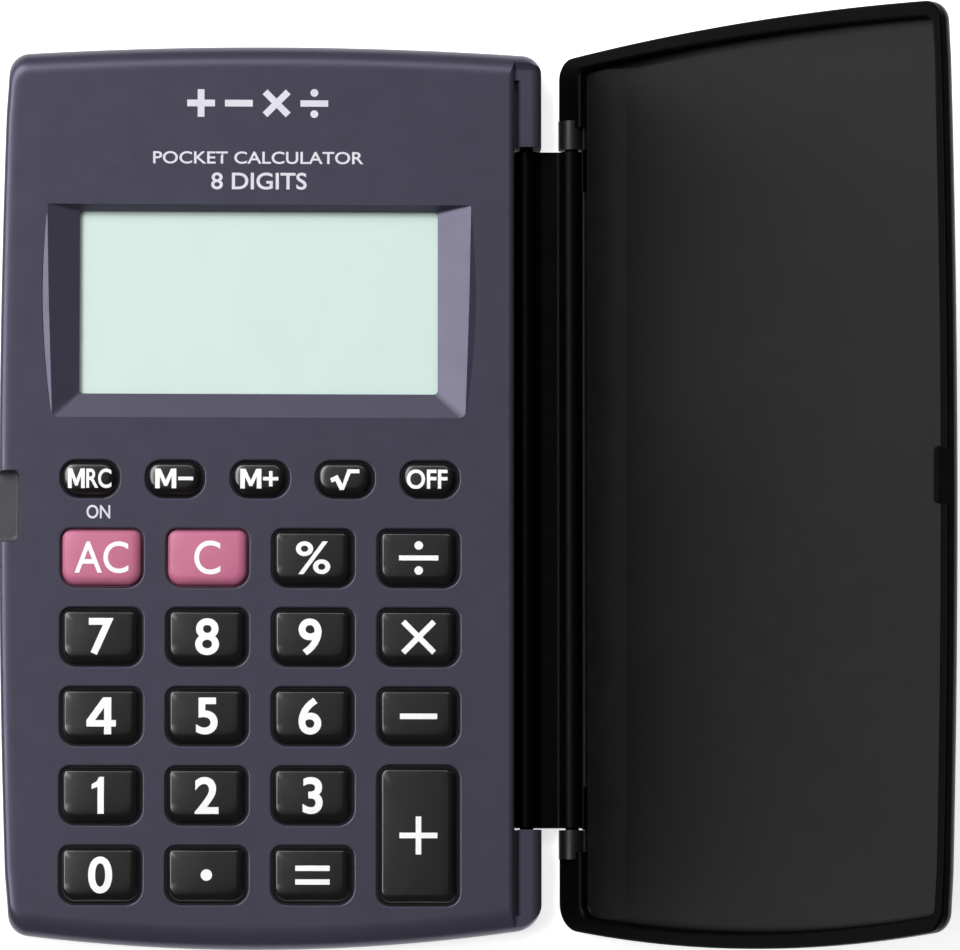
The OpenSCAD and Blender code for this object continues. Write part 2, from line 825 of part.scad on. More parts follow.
// Round door that locks with a part turn: two tabs pass the gates and slide over the floor.
module battery_door() {
    tab_z = floor_t + 0.05;
    top_z = cell_z - 0.1;
    slot_w = 1.2;
    slot_h = 0.8;
    color(BACK)
        translate([cell_at[0], cell_at[1], 0])
            difference() {
                union() {
                    translate([0, 0, door_face_z])
                        cylinder(r = door_r, h = top_z - door_face_z, $fn = fine);
                    for (side = [0, 180])
                        rotate([0, 0, side])
                            translate([0, 0, tab_z])
                                linear_extrude(top_z - tab_z)
                                    sector(door_tab_r, door_tab_half);
                }
                box(-door_r * 0.6, door_r * 0.6, -slot_w / 2, slot_w / 2, -1, slot_h);
            }
}

// ---- Hinge leaf ----------------------------------------------------------------------------

module hinge_link() {
    color(BLACK)
        union() {
            for (x = [axis_a[0], axis_b[0]])
                translate([x, 0, hinge_r])
                    rotate([90, 0, 0]) {
                        translate([0, 0, -link_top])
                            cylinder(r = barrel_r, h = link_top - link_bottom, $fn = fine);
                        translate([0, 0, -link_top - stub_l])
                            cylinder(r = stub_r, h = link_top - link_bottom + 2 * stub_l, $fn = fine);
                    }
            box(axis_a[0], axis_b[0], link_bottom, link_top, hinge_r + leaf_low, hinge_r + leaf_high);
        }
}

// ---- Cover ---------------------------------------------------------------------------------

// Outer form of the cover in its own frame: x away from its axis, y along it, z inwards.
// Along the hinge it stays within hinge_r of the axis, and elsewhere its outer edge is rounded.
module cover_form() {
    levels = concat([for (t = [0:15:75]) -hinge_r * cos(t)], [0, cover_rim_rise]);
    loft(
        [for (z = levels)
            let (
                below = max(0, cover_edge_round - hinge_r - z),
                inward = cover_edge_round - sqrt(max(0, pow(cover_edge_round, 2) - pow(below, 2))),
                hinge_in = hinge_r - sqrt(max(0, pow(hinge_r, 2) - z * z))
            )
            cover_points(inward, inward, hinge_in)],
        levels
    );
}

// The dish inside the rim. Near the hinge its floor is higher, and a slope leads down from there.
module cover_dish() {
    high = cover_floor + thick_zone_rise;
    intersection() {
        translate([0, 0, -hinge_r])
            linear_extrude(2 * hinge_r)
                polygon(cover_points(cover_rim_side, cover_rim_end, hinge_r + hinge_rim_end));
        along_y(-body_l, body_l)
            polygon([
                [-hinge_r, high], [thick_zone_end, high], [slope_end, cover_floor],
                [body_w, cover_floor], [body_w, hinge_r], [-hinge_r, hinge_r]
            ]);
    }
}

// The cover in its own frame, before it is placed on the leaf.
module cover_shell() {
    knuckle_top = link_top + end_gap;
    knuckle_bottom = link_bottom - end_gap;
    difference() {
        union() {
            difference() {
                cover_form();
                cover_dish();
                box(-hinge_r - 1, panel_start, knuckle_bottom - knuckle_l, knuckle_top + knuckle_l,
                    -hinge_r - 1, hinge_r);
                // Shallow channel along the barrel and the knuckles.
                box(panel_start - eps, panel_start + channel_w, knuckle_bottom - knuckle_l,
                    knuckle_top + knuckle_l, channel_floor, hinge_r);
            }
            for (y = [[knuckle_top, knuckle_top + knuckle_l + 1],
                      [knuckle_bottom - knuckle_l - 1, knuckle_bottom]])
                translate([0, y[1], 0])
                    rotate([90, 0, 0])
                        cylinder(r = knuckle_r, h = y[1] - y[0], $fn = fine);
            // Ribs beside the ends of the leaf's barrel.
            for (y = [knuckle_top - rib_l, knuckle_bottom])
                box(rib_start, rib_start + rib_w, y, y + rib_l, channel_floor - 0.1, rib_rise);
            // Catch tab on the free edge.
            box(cover_end - tab_t, cover_end, tab_y0, tab_y1, 0, cover_rim_rise + tab_drop);
        }
        translate([0, body_l / 2, 0])
            rotate([90, 0, 0])
                translate([0, 0, body_l / 2 - link_top - stub_l - 0.4])
                    cylinder(r = stub_r + stub_play, h = link_top - link_bottom + 2 * stub_l + 0.8,
                             $fn = fine);
    }
}

module cover() {
    color(BLACK)
        translate([axis_b[0], 0, axis_b[1]])
            rotate([0, -cover_open, 0])
                cover_shell();
}

// ---- Assembly ------------------------------------------------------------------------------

upper_case();
lower_case();
display_window();
lcd_panel();
lcd_reflector();
display_ribbon();
circuit_board();
controller_chip();
chip_parts();
board_screws();
case_screws();
key_mat();
contact_pills();
key_body("key_recall", BLACK);  // key_recall
key_body("key_memory_minus", BLACK);  // key_memory_minus
key_body("key_memory_plus", BLACK);  // key_memory_plus
key_body("key_root", BLACK);  // key_root
key_body("key_off", BLACK);  // key_off
key_body("key_all_clear", PINK);  // key_all_clear
key_body("key_clear", PINK);  // key_clear
key_body("key_percent", BLACK);  // key_percent
key_body("key_divide", BLACK);  // key_divide
key_body("key_7", BLACK);  // key_7
key_body("key_8", BLACK);  // key_8
key_body("key_9", BLACK);  // key_9
key_body("key_times", BLACK);  // key_times
key_body("key_4", BLACK);  // key_4
key_body("key_5", BLACK);  // key_5
key_body("key_6", BLACK);  // key_6
key_body("key_minus", BLACK);  // key_minus
key_body("key_1", BLACK);  // key_1
key_body("key_2", BLACK);  // key_2
key_body("key_3", BLACK);  // key_3
key_body("key_plus", BLACK);  // key_plus
key_body("key_0", BLACK);  // key_0
key_body("key_point", BLACK);  // key_point
key_body("key_equals", BLACK);  // key_equals
button_cell();
battery_contact_negative();
battery_contact_positive();
battery_door();
hinge_link();
cover();
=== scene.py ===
import json
import math

import bmesh
import bpy
from mathutils import Matrix, Vector


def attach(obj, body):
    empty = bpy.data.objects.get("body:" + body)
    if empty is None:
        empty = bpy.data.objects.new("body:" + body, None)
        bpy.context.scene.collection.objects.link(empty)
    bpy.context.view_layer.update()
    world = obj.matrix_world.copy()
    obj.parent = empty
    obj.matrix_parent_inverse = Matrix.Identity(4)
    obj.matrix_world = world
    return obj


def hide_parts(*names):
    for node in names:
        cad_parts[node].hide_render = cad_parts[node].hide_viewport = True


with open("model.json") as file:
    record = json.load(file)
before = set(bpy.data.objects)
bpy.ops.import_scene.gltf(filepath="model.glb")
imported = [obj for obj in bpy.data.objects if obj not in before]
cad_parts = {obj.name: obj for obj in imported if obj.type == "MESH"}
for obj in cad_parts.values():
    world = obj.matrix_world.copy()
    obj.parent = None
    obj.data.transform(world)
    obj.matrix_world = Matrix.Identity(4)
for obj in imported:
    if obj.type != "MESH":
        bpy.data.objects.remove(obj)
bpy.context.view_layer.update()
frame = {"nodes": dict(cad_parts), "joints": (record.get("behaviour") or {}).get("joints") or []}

# Every form is made in millimetres in the frame's own axes and scaled to metres at the end.
MM = 0.001
SCENE = bpy.context.scene
NO_TURN = Matrix.Identity(4)

# ---- Sizes ----

BODY_L = 127.0
BODY_W = 76.0
HALF_L = BODY_L / 2
HALF_W = BODY_W / 2
FACE_Z = 7.4
SPLIT_Z = 3.4
SHOULDER_Z = 5.0
SHOULDER_SIDE = 5.3
SHOULDER_END = 3.4
THUMB_CORNER_R = 3.0
HINGE_CORNER_R = 2.9
LOW_CORNER_EXTRA = 1.2
SIDE_POWER = 10
WALL = 1.5
PLATE_Z = 5.9
SEAM = 0.15

AXIS_A_X = 36.0
AXIS_B_X = 42.4
AXIS_Z = 2.0
HINGE_R = 2.0
BARREL_R = 1.8
STUB_R = 0.95
STUB_L = 2.6
LINK_TOP = 49.1
LINK_BOTTOM = -46.4
END_GAP = 0.3
SLOT_X = 34.12
FACE_EDGE_X = SLOT_X
LEDGE_Z = 6.2
GROOVE_W = 0.6
GROOVE_FLOOR_Z = 4.0
GROOVE_END_Y = 58.8
RAMP_START_Y = 60.0
RAMP_END_Y = 62.6

VIEW_X0 = -26.9
VIEW_X1 = 23.35
VIEW_Y0 = 14.3
VIEW_Y1 = 40.0
BEZEL_TOP = 0.9
BEZEL_LOW = 3.4
BEZEL_LEFT = 4.5
BEZEL_RIGHT = 4.65
BEZEL_PULL_MIDDLE = 0.27
BEZEL_PULL_LOW = 0.8
VIEW_MIDDLE_Y = (VIEW_Y0 + VIEW_Y1) / 2
LIP_Z = 6.2
LIP_T = 0.25
PANE_T = 0.6
PANE_Z = LIP_Z - LIP_T - PANE_T
PANE_MARGIN = 1.4

NOTCH_Y0 = -6.5
NOTCH_Y1 = 3.3

KEY_TOP = 8.6
KEY_LOW = 4.6
KEY_GAP = 0.25
FLANGE_LOW = 5.1
FLANGE_T = 0.75
FLANGE_W = 0.6
CROWN_RISE = 0.25
CROWN_FALL = 0.22
SKIRT_TOP = 7.25
MID_W = 11.0
MID_D = 7.7
SMALL_W = 7.7
SMALL_D = 4.75
TALL_D = 19.1
COLUMN_X = -23.6
COLUMN_PITCH = 14.75
ROW_Y = -8.85
ROW_PITCH = 11.07
SMALL_X = -25.3
SMALL_PITCH = 11.88
SMALL_Y = 2.2

CELL_AT = (-14.0, 52.4)
DOOR_HOLE_R = 7.05
DOOR_GATE_R = 8.35
SCREW_SHANK_R = 0.95
SCREW_SINK_R = 1.75
CASE_SCREWS = [(-33.0, 56.8), (29.8, 56.8), (-33.0, -56.2), (29.8, -56.2)]

# How far the open cover leans up: the half turn of closing, less the hinges' swing to closed.
LIMITS = {j["name"]: math.radians(j["range_deg"][1]) for j in frame["joints"]
          if j["type"] == "hinge"}
COVER_LEAN = math.radians(180) - LIMITS["link_hinge"] - LIMITS["cover_hinge"]
COVER_FRAME = (Matrix.Translation((AXIS_B_X, 0, AXIS_Z))
               @ Matrix.Rotation(-COVER_LEAN, 4, "Y"))

# ---- Mesh tools ----


def put(name, mesh):
    obj = bpy.data.objects.new(name, mesh)
    SCENE.collection.objects.link(obj)
    return obj


def solid(name, points, faces):
    mesh = bpy.data.meshes.new(name)
    mesh.from_pydata([tuple(p) for p in points], [], faces)
    mesh.update()
    bm = bmesh.new()
    bm.from_mesh(mesh)
    bmesh.ops.recalc_face_normals(bm, faces=bm.faces)
    bm.to_mesh(mesh)
    bm.free()
    return put(name, mesh)


def loft(name, rings):
    """A closed skin through rings of equal length, given as lists of 3-D points."""
    n = len(rings[0])
    points = [p for ring in rings for p in ring]
    faces = [list(range(n))[::-1]]
    for k in range(len(rings) - 1):
        for i in range(n):
            j = (i + 1) % n
            faces.append([k * n + i, k * n + j, (k + 1) * n + j, (k + 1) * n + i])
    last = (len(rings) - 1) * n
    faces.append([last + i for i in range(n)])
    return solid(name, points, faces)


def at_z(outline, z):
    return [(p[0], p[1], z) for p in outline]


def prism(name, outline, z0, z1):
    return loft(name, [at_z(outline, z0), at_z(outline, z1)])


def box(name, x0, x1, y0, y1, z0, z1):
    return prism(name, [(x0, y0), (x1, y0), (x1, y1), (x0, y1)], z0, z1)


def along_y(name, profile, y0, y1):
    """A prism whose (x, z) profile runs from y0 to y1."""
    return loft(name, [[(x, y0, z) for x, z in profile], [(x, y1, z) for x, z in profile]])


def arc(cx, cy, r, a0, a1, steps):
    """Points on an arc, with its angles in degrees."""
    turns = [math.radians(a0 + (a1 - a0) * i / steps) for i in range(steps + 1)]
    return [(cx + r * math.cos(a), cy + r * math.sin(a)) for a in turns]


def circle(cx, cy, r, steps=48):
    return arc(cx, cy, r, 0, 360, steps)[:-1]


def rod(name, x, y0, y1, z, r, steps=48):
    return along_y(name, circle(x, z, r, steps), y0, y1)


def drum(name, x, y, r, z0, z1, steps=48):
    return prism(name, circle(x, y, r, steps), z0, z1)


def baked(obj):
    """Applies all modifiers."""
    bpy.context.view_layer.update()
    graph = bpy.context.evaluated_depsgraph_get()
    mesh = bpy.data.meshes.new_from_object(obj.evaluated_get(graph))
    old = obj.data
    obj.modifiers.clear()
    obj.data = mesh
    bpy.data.meshes.remove(old)
    return obj


def combine(obj, others, operation):
    group = bpy.data.collections.new("tools")
    for other in others:
        group.objects.link(other)
    step = obj.modifiers.new("combine", "BOOLEAN")
    step.operation = operation
    step.operand_type = "COLLECTION"
    step.collection = group
    step.solver = "EXACT"
    baked(obj)
    for other in others:
        bpy.data.objects.remove(other)
    bpy.data.collections.remove(group)
    return obj


def cut(obj, others):
    return combine(obj, others, "DIFFERENCE")


def weld(obj, others):
    return combine(obj, others, "UNION")


def finish_form(obj, crease=32, bevel=0.0, placed=NO_TURN):
    """Moves the form to its place in metres, with smooth shading and weighted normals."""
    bm = bmesh.new()
    bm.from_mesh(obj.data)
    bmesh.ops.remove_doubles(bm, verts=bm.verts, dist=0.0005)
    bmesh.ops.dissolve_degenerate(bm, edges=bm.edges, dist=0.0005)
    bm.to_mesh(obj.data)
    bm.free()
    obj.data.transform(Matrix.Scale(MM, 4) @ placed)
    obj.data.shade_smooth()
    obj.data.set_sharp_from_angle(angle=math.radians(crease))
    if bevel > 0:
        step = obj.modifiers.new("edge_round", "BEVEL")
        step.width = bevel * MM
        step.segments = 2
        step.limit_method = "ANGLE"
        step.angle_limit = math.radians(crease)
        step.harden_normals = False
    normals = obj.modifiers.new("weighted", "WEIGHTED_NORMAL")
    normals.keep_sharp = True
    return obj


# ---- Materials ----


def new_material(name):
    mat = bpy.data.materials.new(name)
    mat.use_nodes = True
    return mat, mat.node_tree, mat.node_tree.nodes["Principled BSDF"]


def set_input(node, name, value):
    node.inputs[name].default_value = value


def grey(level):
    return level, level, level


def millimetres(tree, stretch=(1, 1, 1)):
    coord = tree.nodes.new("ShaderNodeTexCoord")
    mapping = tree.nodes.new("ShaderNodeMapping")
    set_input(mapping, "Scale", [1000 * s for s in stretch])
    tree.links.new(coord.outputs["Object"], mapping.inputs["Vector"])
    return mapping.outputs["Vector"]


def noise(tree, vector, size, detail=3.0, rough=0.55):
    node = tree.nodes.new("ShaderNodeTexNoise")
    set_input(node, "Scale", 1 / size)
    set_input(node, "Detail", detail)
    set_input(node, "Roughness", rough)
    tree.links.new(vector, node.inputs["Vector"])
    return node.outputs["Fac"]


def ramp(tree, value, low, high, start=0.3, end=0.7):
    node = tree.nodes.new("ShaderNodeValToRGB")
    node.color_ramp.elements[0].position = start
    node.color_ramp.elements[0].color = (*low, 1)
    node.color_ramp.elements[1].position = end
    node.color_ramp.elements[1].color = (*high, 1)
    tree.links.new(value, node.inputs["Fac"])
    return node.outputs["Color"]


def spread(tree, value, low, high, start=0.3, end=0.7):
    node = tree.nodes.new("ShaderNodeMapRange")
    set_input(node, "From Min", start)
    set_input(node, "From Max", end)
    set_input(node, "To Min", low)
    set_input(node, "To Max", high)
    tree.links.new(value, node.inputs["Value"])
    return node.outputs["Result"]


def bump(tree, height, depth_mm, strength=1.0, below=None):
    node = tree.nodes.new("ShaderNodeBump")
    set_input(node, "Strength", strength)
    set_input(node, "Distance", depth_mm * MM)
    tree.links.new(height, node.inputs["Height"])
    if below is not None:
        tree.links.new(below, node.inputs["Normal"])
    return node.outputs["Normal"]


def moulded(name, low, high, rough, grain=0.12, depth=0.004, specular=0.5, patch=14.0,
            tint=(1, 1, 1)):
    """Moulded plastic: a fine spark-eroded grain, with broad slight changes of tone and sheen."""
    mat, tree, shader = new_material(name)
    place = millimetres(tree)
    broad = noise(tree, place, patch)
    tree.links.new(ramp(tree, broad, low, high), shader.inputs["Base Color"])
    sheen = noise(tree, place, 3.0, 4.0)
    tree.links.new(spread(tree, sheen, rough[0], rough[1]), shader.inputs["Roughness"])
    pits = noise(tree, place, grain, 2.0)
    waves = noise(tree, place, 6.0, 1.0)
    flow = bump(tree, waves, 0.006)
    tree.links.new(bump(tree, pits, depth, 1.0, flow), shader.inputs["Normal"])
    set_input(shader, "Specular IOR Level", specular)
    set_input(shader, "Specular Tint", (*tint, 1))
    return mat


def metal(name, low, high, rough, brushed=(1, 1, 1)):
    """Plated or brushed steel, with drawn lines and a little tarnish."""
    mat, tree, shader = new_material(name)
    lines = millimetres(tree, brushed)
    streaks = noise(tree, lines, 0.15, 4.0)
    tarnish = noise(tree, millimetres(tree), 2.5, 4.0)
    tree.links.new(ramp(tree, tarnish, low, high), shader.inputs["Base Color"])
    tree.links.new(spread(tree, streaks, rough[0], rough[1]), shader.inputs["Roughness"])
    tree.links.new(bump(tree, streaks, 0.003), shader.inputs["Normal"])
    set_input(shader, "Metallic", 1.0)
    return mat


def face_material():
    return moulded("face_satin", (0.038, 0.0355, 0.053), (0.042, 0.039, 0.058), (0.28, 0.33),
                   grain=0.14, depth=0.003, specular=0.62, patch=30.0, tint=(0.77, 0.74, 1.0))


def back_material():
    return moulded("back_satin", (0.040, 0.040, 0.045), (0.048, 0.048, 0.054), (0.45, 0.56),
                   grain=0.2, depth=0.008, specular=0.4)


def key_black_material():
    return moulded("key_black_gloss", grey(0.003), grey(0.0042), (0.20, 0.24),
                   grain=0.5, depth=0.002, specular=0.76, patch=5.0)


def key_pink_material():
    return moulded("key_rose_gloss", (0.535, 0.155, 0.262), (0.575, 0.170, 0.282), (0.28, 0.36),
                   grain=0.5, depth=0.002, specular=0.4, patch=5.0)


def cover_material():
    return moulded("cover_satin_black", (0.0024, 0.0024, 0.0025), (0.0036, 0.0036, 0.0038),
                   (0.36, 0.44), grain=0.2, depth=0.003, specular=0.25, patch=24.0)


# A darker, duller copy of the cover's black for the rim: painted shade where the rim reflects dark
# surroundings.
def rim_painted_shade_material():
    return moulded("cover_rim_painted_shade", grey(0.0008), grey(0.0014),
                   (0.30, 0.38), grain=0.2, depth=0.002, specular=0.04, patch=24.0)


# A lighter, glossier copy of the cover's black for the knuckles: a painted highlight where the light
# falls on them.
def knuckle_painted_highlight_material():
    return moulded("cover_knuckle_painted_highlight", grey(0.004), grey(0.006),
                   (0.34, 0.42), grain=0.2, depth=0.003, specular=0.26, patch=6.0)


def link_material():
    return moulded("leaf_satin_black", grey(0.0003), grey(0.0006),
                   (0.34, 0.42), grain=0.25, depth=0.003, specular=0.045)


def ink_material():
    return moulded("white_ink", grey(0.93), grey(0.98), (0.45, 0.6),
                   grain=0.08, depth=0.004, specular=0.5, patch=2.0)


def face_ink_material():
    return moulded("pale_ink", (0.66, 0.65, 0.72), (0.74, 0.73, 0.80), (0.45, 0.6),
                   grain=0.08, depth=0.004, specular=0.3, patch=2.0)


def liquid_crystal_material():
    """The green-grey front polariser, with a faint cell texture behind it."""
    mat, tree, shader = new_material("liquid_crystal_mint")
    place = millimetres(tree)
    cloud = noise(tree, place, 9.0)
    tree.links.new(ramp(tree, cloud, (0.645, 0.795, 0.745), (0.663, 0.813, 0.763)),
                   shader.inputs["Base Color"])
    pits = noise(tree, place, 0.08, 2.0)
    tree.links.new(spread(tree, cloud, 0.42, 0.5), shader.inputs["Roughness"])
    tree.links.new(bump(tree, pits, 0.001), shader.inputs["Normal"])
    set_input(shader, "Specular IOR Level", 0.3)
    return mat


def pane_material():
    mat, tree, shader = new_material("clear_pane")
    place = millimetres(tree)
    scuffs = noise(tree, place, 4.0, 5.0)
    tree.links.new(spread(tree, scuffs, 0.03, 0.08), shader.inputs["Roughness"])
    tree.links.new(ramp(tree, scuffs, (0.86, 0.93, 0.90), (0.92, 0.97, 0.95)),
                   shader.inputs["Base Color"])
    set_input(shader, "Alpha", 0.10)
    set_input(shader, "Specular IOR Level", 0.4)
    return mat


def board_material():
    """Green solder mask over copper tracks."""
    mat, tree, shader = new_material("solder_mask")
    place = millimetres(tree)
    tracks = tree.nodes.new("ShaderNodeTexBrick")
    set_input(tracks, "Scale", 0.35)
    set_input(tracks, "Mortar Size", 0.04)
    set_input(tracks, "Color1", (0.012, 0.085, 0.030, 1))
    set_input(tracks, "Color2", (0.016, 0.100, 0.036, 1))
    set_input(tracks, "Mortar", (0.040, 0.180, 0.060, 1))
    tree.links.new(place, tracks.inputs["Vector"])
    tree.links.new(tracks.outputs["Color"], shader.inputs["Base Color"])
    tree.links.new(bump(tree, tracks.outputs["Fac"], 0.03), shader.inputs["Normal"])
    tree.links.new(spread(tree, noise(tree, place, 5.0), 0.25, 0.4),
                   shader.inputs["Roughness"])
    return mat


def ribbon_material():
    """Amber film with the printed lines of a heat seal."""
    mat, tree, shader = new_material("amber_film")
    lines = tree.nodes.new("ShaderNodeTexWave")
    set_input(lines, "Scale", 0.35)
    set_input(lines, "Distortion", 0.0)
    tree.links.new(millimetres(tree), lines.inputs["Vector"])
    tree.links.new(ramp(tree, lines.outputs["Fac"], (0.50, 0.26, 0.05), (0.10, 0.08, 0.06)),
                   shader.inputs["Base Color"])
    tree.links.new(bump(tree, lines.outputs["Fac"], 0.02), shader.inputs["Normal"])
    set_input(shader, "Roughness", 0.35)
    return mat


def silicone_material():
    mat = moulded("silicone_grey", (0.42, 0.42, 0.40), (0.50, 0.50, 0.48), (0.5, 0.6),
                  grain=0.1, depth=0.005, specular=0.35)
    shader = mat.node_tree.nodes["Principled BSDF"]
    set_input(shader, "Subsurface Weight", 0.2)
    set_input(shader, "Subsurface Radius", (MM, MM, MM))
    return mat


# ---- Outline of the body ----

TOP_BOW_R = 560.0
BOTTOM_BOW_R = 262.0
SIDE_BOW_R = 1580.0
TOP_CREST_X = 1.0
BOTTOM_CREST_X = -2.2
SIDE_CREST_Y = 5.0


def top_y(x):
    return HALF_L - (x - TOP_CREST_X) ** 2 / (2 * TOP_BOW_R)


def bottom_y(x):
    return -HALF_L + (x - BOTTOM_CREST_X) ** 2 / (2 * BOTTOM_BOW_R)


def side_x(y):
    return -HALF_W + (y - SIDE_CREST_Y) ** 2 / (2 * SIDE_BOW_R)


def top_normal(x):
    return 90 - math.degrees(math.atan((x - TOP_CREST_X) / TOP_BOW_R))


def bottom_normal(x):
    return 270 + math.degrees(math.atan((x - BOTTOM_CREST_X) / BOTTOM_BOW_R))


def top_centre(x, r, end_in):
    a = math.radians(top_normal(x))
    return x, top_y(x + r * math.cos(a)) - end_in - r * math.sin(a)


def bottom_centre(x, r, end_in):
    a = math.radians(bottom_normal(x))
    return x, bottom_y(x + r * math.cos(a)) + end_in - r * math.sin(a)


def plan(side_in, end_in, right_x=HALF_W, right_r=HINGE_CORNER_R, steps=24, turns=12):
    """The body's outline moved in by side_in on the thumb edge and end_in on both ends."""
    left_r = max(THUMB_CORNER_R - side_in, 0.8)
    right_r = max(right_r, 0.4)
    left_top_x = side_x(HALF_L) + side_in + left_r
    left_bottom_x = side_x(-HALF_L) + side_in + left_r
    right_c = right_x - right_r
    low_r = right_r + LOW_CORNER_EXTRA
    low_c = right_x - low_r
    tr = top_centre(right_c, right_r, end_in)
    tl = top_centre(left_top_x, left_r, end_in)
    bl = bottom_centre(left_bottom_x, left_r, end_in)
    br = bottom_centre(low_c, low_r, end_in)
    points = arc(*tr, right_r, 0, top_normal(right_c), turns)
    for i in range(1, steps):
        x = right_c + (left_top_x - right_c) * i / steps
        points.append((x, top_y(x) - end_in))
    points += arc(*tl, left_r, top_normal(left_top_x), 180, turns)
    for i in range(1, steps):
        y = tl[1] + (bl[1] - tl[1]) * i / steps
        points.append((side_x(y) + side_in, y))
    points += arc(*bl, left_r, 180, bottom_normal(left_bottom_x), turns)
    for i in range(1, steps):
        x = left_bottom_x + (low_c - left_bottom_x) * i / steps
        points.append((x, bottom_y(x) + end_in))
    points += arc(*br, low_r, bottom_normal(low_c), 360, turns)
    return points


def cavity(inward, grow=0.0):
    return plan(inward, inward, SLOT_X - inward + grow, THUMB_CORNER_R - inward)


def cap_outline(w, d, r_top, r_bottom, grow=0.0, steps=8, straight=8):
    """A rounded rectangle about the origin whose upper and lower corners differ."""
    x = w / 2 + grow
    y = d / 2 + grow
    rt = max(r_top + grow, 0.15)
    rb = max(r_bottom + grow, 0.15)
    corners = [arc(x - rt, y - rt, rt, 0, 90, steps),
               arc(-x + rt, y - rt, rt, 90, 180, steps),
               arc(-x + rb, -y + rb, rb, 180, 270, steps),
               arc(x - rb, -y + rb, rb, 270, 360, steps)]
    points = []
    for i, corner in enumerate(corners):
        start = corner[-1]
        end = corners[(i + 1) % 4][0]
        points += corner
        for k in range(1, straight):
            t = k / straight
            points.append((start[0] + (end[0] - start[0]) * t, start[1] + (end[1] - start[1]) * t))
    return points


def moved(outline, x, y=0.0):
    return [(u + x, v + y) for u, v in outline]


# ---- Keys ----


def column(i):
    return COLUMN_X + i * COLUMN_PITCH


def row(i):
    return ROW_Y - i * ROW_PITCH


def large(node, legend, col, line):
    return {"node": node, "legend": legend, "at": (column(col), row(line)),
            "size": (MID_W, MID_D), "corners": (1.2, 2.0)}


def small(node, legend, col):
    return {"node": node, "legend": legend, "at": (SMALL_X + col * SMALL_PITCH, SMALL_Y),
            "size": (SMALL_W, SMALL_D), "corners": (1.9, 2.3)}


# A legend is a kind of lettering and its text, or a sign and no text.
KEYS = [
    small("key_recall", ("memory", "MRC"), 0),
    small("key_memory_minus", ("memory", "M-"), 1),
    small("key_memory_plus", ("memory", "M+"), 2),
    small("key_root", ("root", ""), 3),
    small("key_off", ("label", "OFF"), 4),
    large("key_all_clear", ("all_clear", "AC"), 0, 0),
    large("key_clear", ("clear", "C"), 1, 0),
    large("key_percent", ("percent", "%"), 2, 0),
    large("key_divide", ("divide", ""), 3, 0),
    large("key_7", ("digit", "7"), 0, 1),
    large("key_8", ("digit", "8"), 1, 1),
    large("key_9", ("digit", "9"), 2, 1),
    large("key_times", ("times", ""), 3, 1),
    large("key_4", ("digit", "4"), 0, 2),
    large("key_5", ("digit", "5"), 1, 2),
    large("key_6", ("digit", "6"), 2, 2),
    large("key_minus", ("minus", ""), 3, 2),
    large("key_1", ("digit", "1"), 0, 3),
    large("key_2", ("digit", "2"), 1, 3),
    large("key_3", ("digit", "3"), 2, 3),
    large("key_0", ("digit", "0"), 0, 4),
    large("key_point", ("point", ""), 1, 4),
    large("key_equals", ("equals", ""), 2, 4),
    {"node": "key_plus", "legend": ("plus", ""), "at": (column(3), row(3.5)),
     "size": (MID_W, TALL_D), "corners": (1.6, 1.6)},
]


def crown(key, x, y):
    """Height of a cap's face at a point measured from its centre."""
    half_w = key["size"][0] / 2
    half_d = key["size"][1] / 2
    r = (half_w ** 2 + CROWN_RISE ** 2) / (2 * CROWN_RISE)
    across = KEY_TOP - r + math.sqrt(max(r * r - x * x, 0))
    return across - CROWN_FALL * (y / half_d) ** 2


def key_cap(key):
    """A flanged cap whose face stands a little to the left and back of its skirt."""
    w, d = key["size"]
    rt, rb = key["corners"]
    cx, cy = key["at"]
    side = 1.0 if w > SMALL_W else 0.85
    left = -0.40 * side
    back = 0.36 * side
    rings = [at_z(cap_outline(w, d, rt, rb, FLANGE_W), FLANGE_LOW),
             at_z(cap_outline(w, d, rt, rb, FLANGE_W), FLANGE_LOW + FLANGE_T),
             at_z(cap_outline(w, d, rt, rb), FLANGE_LOW + FLANGE_T),
             at_z(cap_outline(w, d, rt, rb), SKIRT_TOP)]
    for i in range(1, 10):
        t = math.radians(90 * i / 9)
        share = 1 - math.cos(t)
        outline = moved(cap_outline(w, d, rt, rb, -side * share), left * share, back * share)
        rings.append([(x, y, SKIRT_TOP + (crown(key, x, y) - SKIRT_TOP) * math.sin(t))
                      for x, y in outline])
    inner = moved(cap_outline(w, d, rt, rb, -side), left, back)
    for share in (0.8, 0.55, 0.3, 0.1):
        rings.append([(x * share, y * share, crown(key, x * share, y * share)) for x, y in inner])
    rings = [[(x + cx, y + cy, z) for x, y, z in ring] for ring in rings]
    cap = loft(key["node"] + "_cap", rings)
    weld(cap, [drum("foot", cx, cy, 1.8, KEY_LOW, FLANGE_LOW + 0.2, 32)])
    return finish_form(cap, 40)


# ---- Printed legends ----


def lettering(text, height, width=None, weight=0.0):
    """Flat letters about the origin, as a mesh with the given cap height and overall width."""
    curve = bpy.data.curves.new("letters", "FONT")
    curve.body = text
    curve.size = 1.0
    curve.resolution_u = 6
    curve.offset = weight
    holder = put("letters", curve)
    bpy.context.view_layer.update()
    graph = bpy.context.evaluated_depsgraph_get()
    mesh = bpy.data.meshes.new_from_object(holder.evaluated_get(graph))
    bpy.data.objects.remove(holder)
    bpy.data.curves.remove(curve)
    xs = [v.co.x for v in mesh.vertices]
    ys = [v.co.y for v in mesh.vertices]
    middle = Vector(((min(xs) + max(xs)) / 2, (min(ys) + max(ys)) / 2, 0))
    scale_y = height / (max(ys) - min(ys))
    scale_x = scale_y if width is None else width / (max(xs) - min(xs))
    for v in mesh.vertices:
        v.co = Vector(((v.co.x - middle.x) * scale_x, (v.co.y - middle.y) * scale_y, 0))
    return mesh


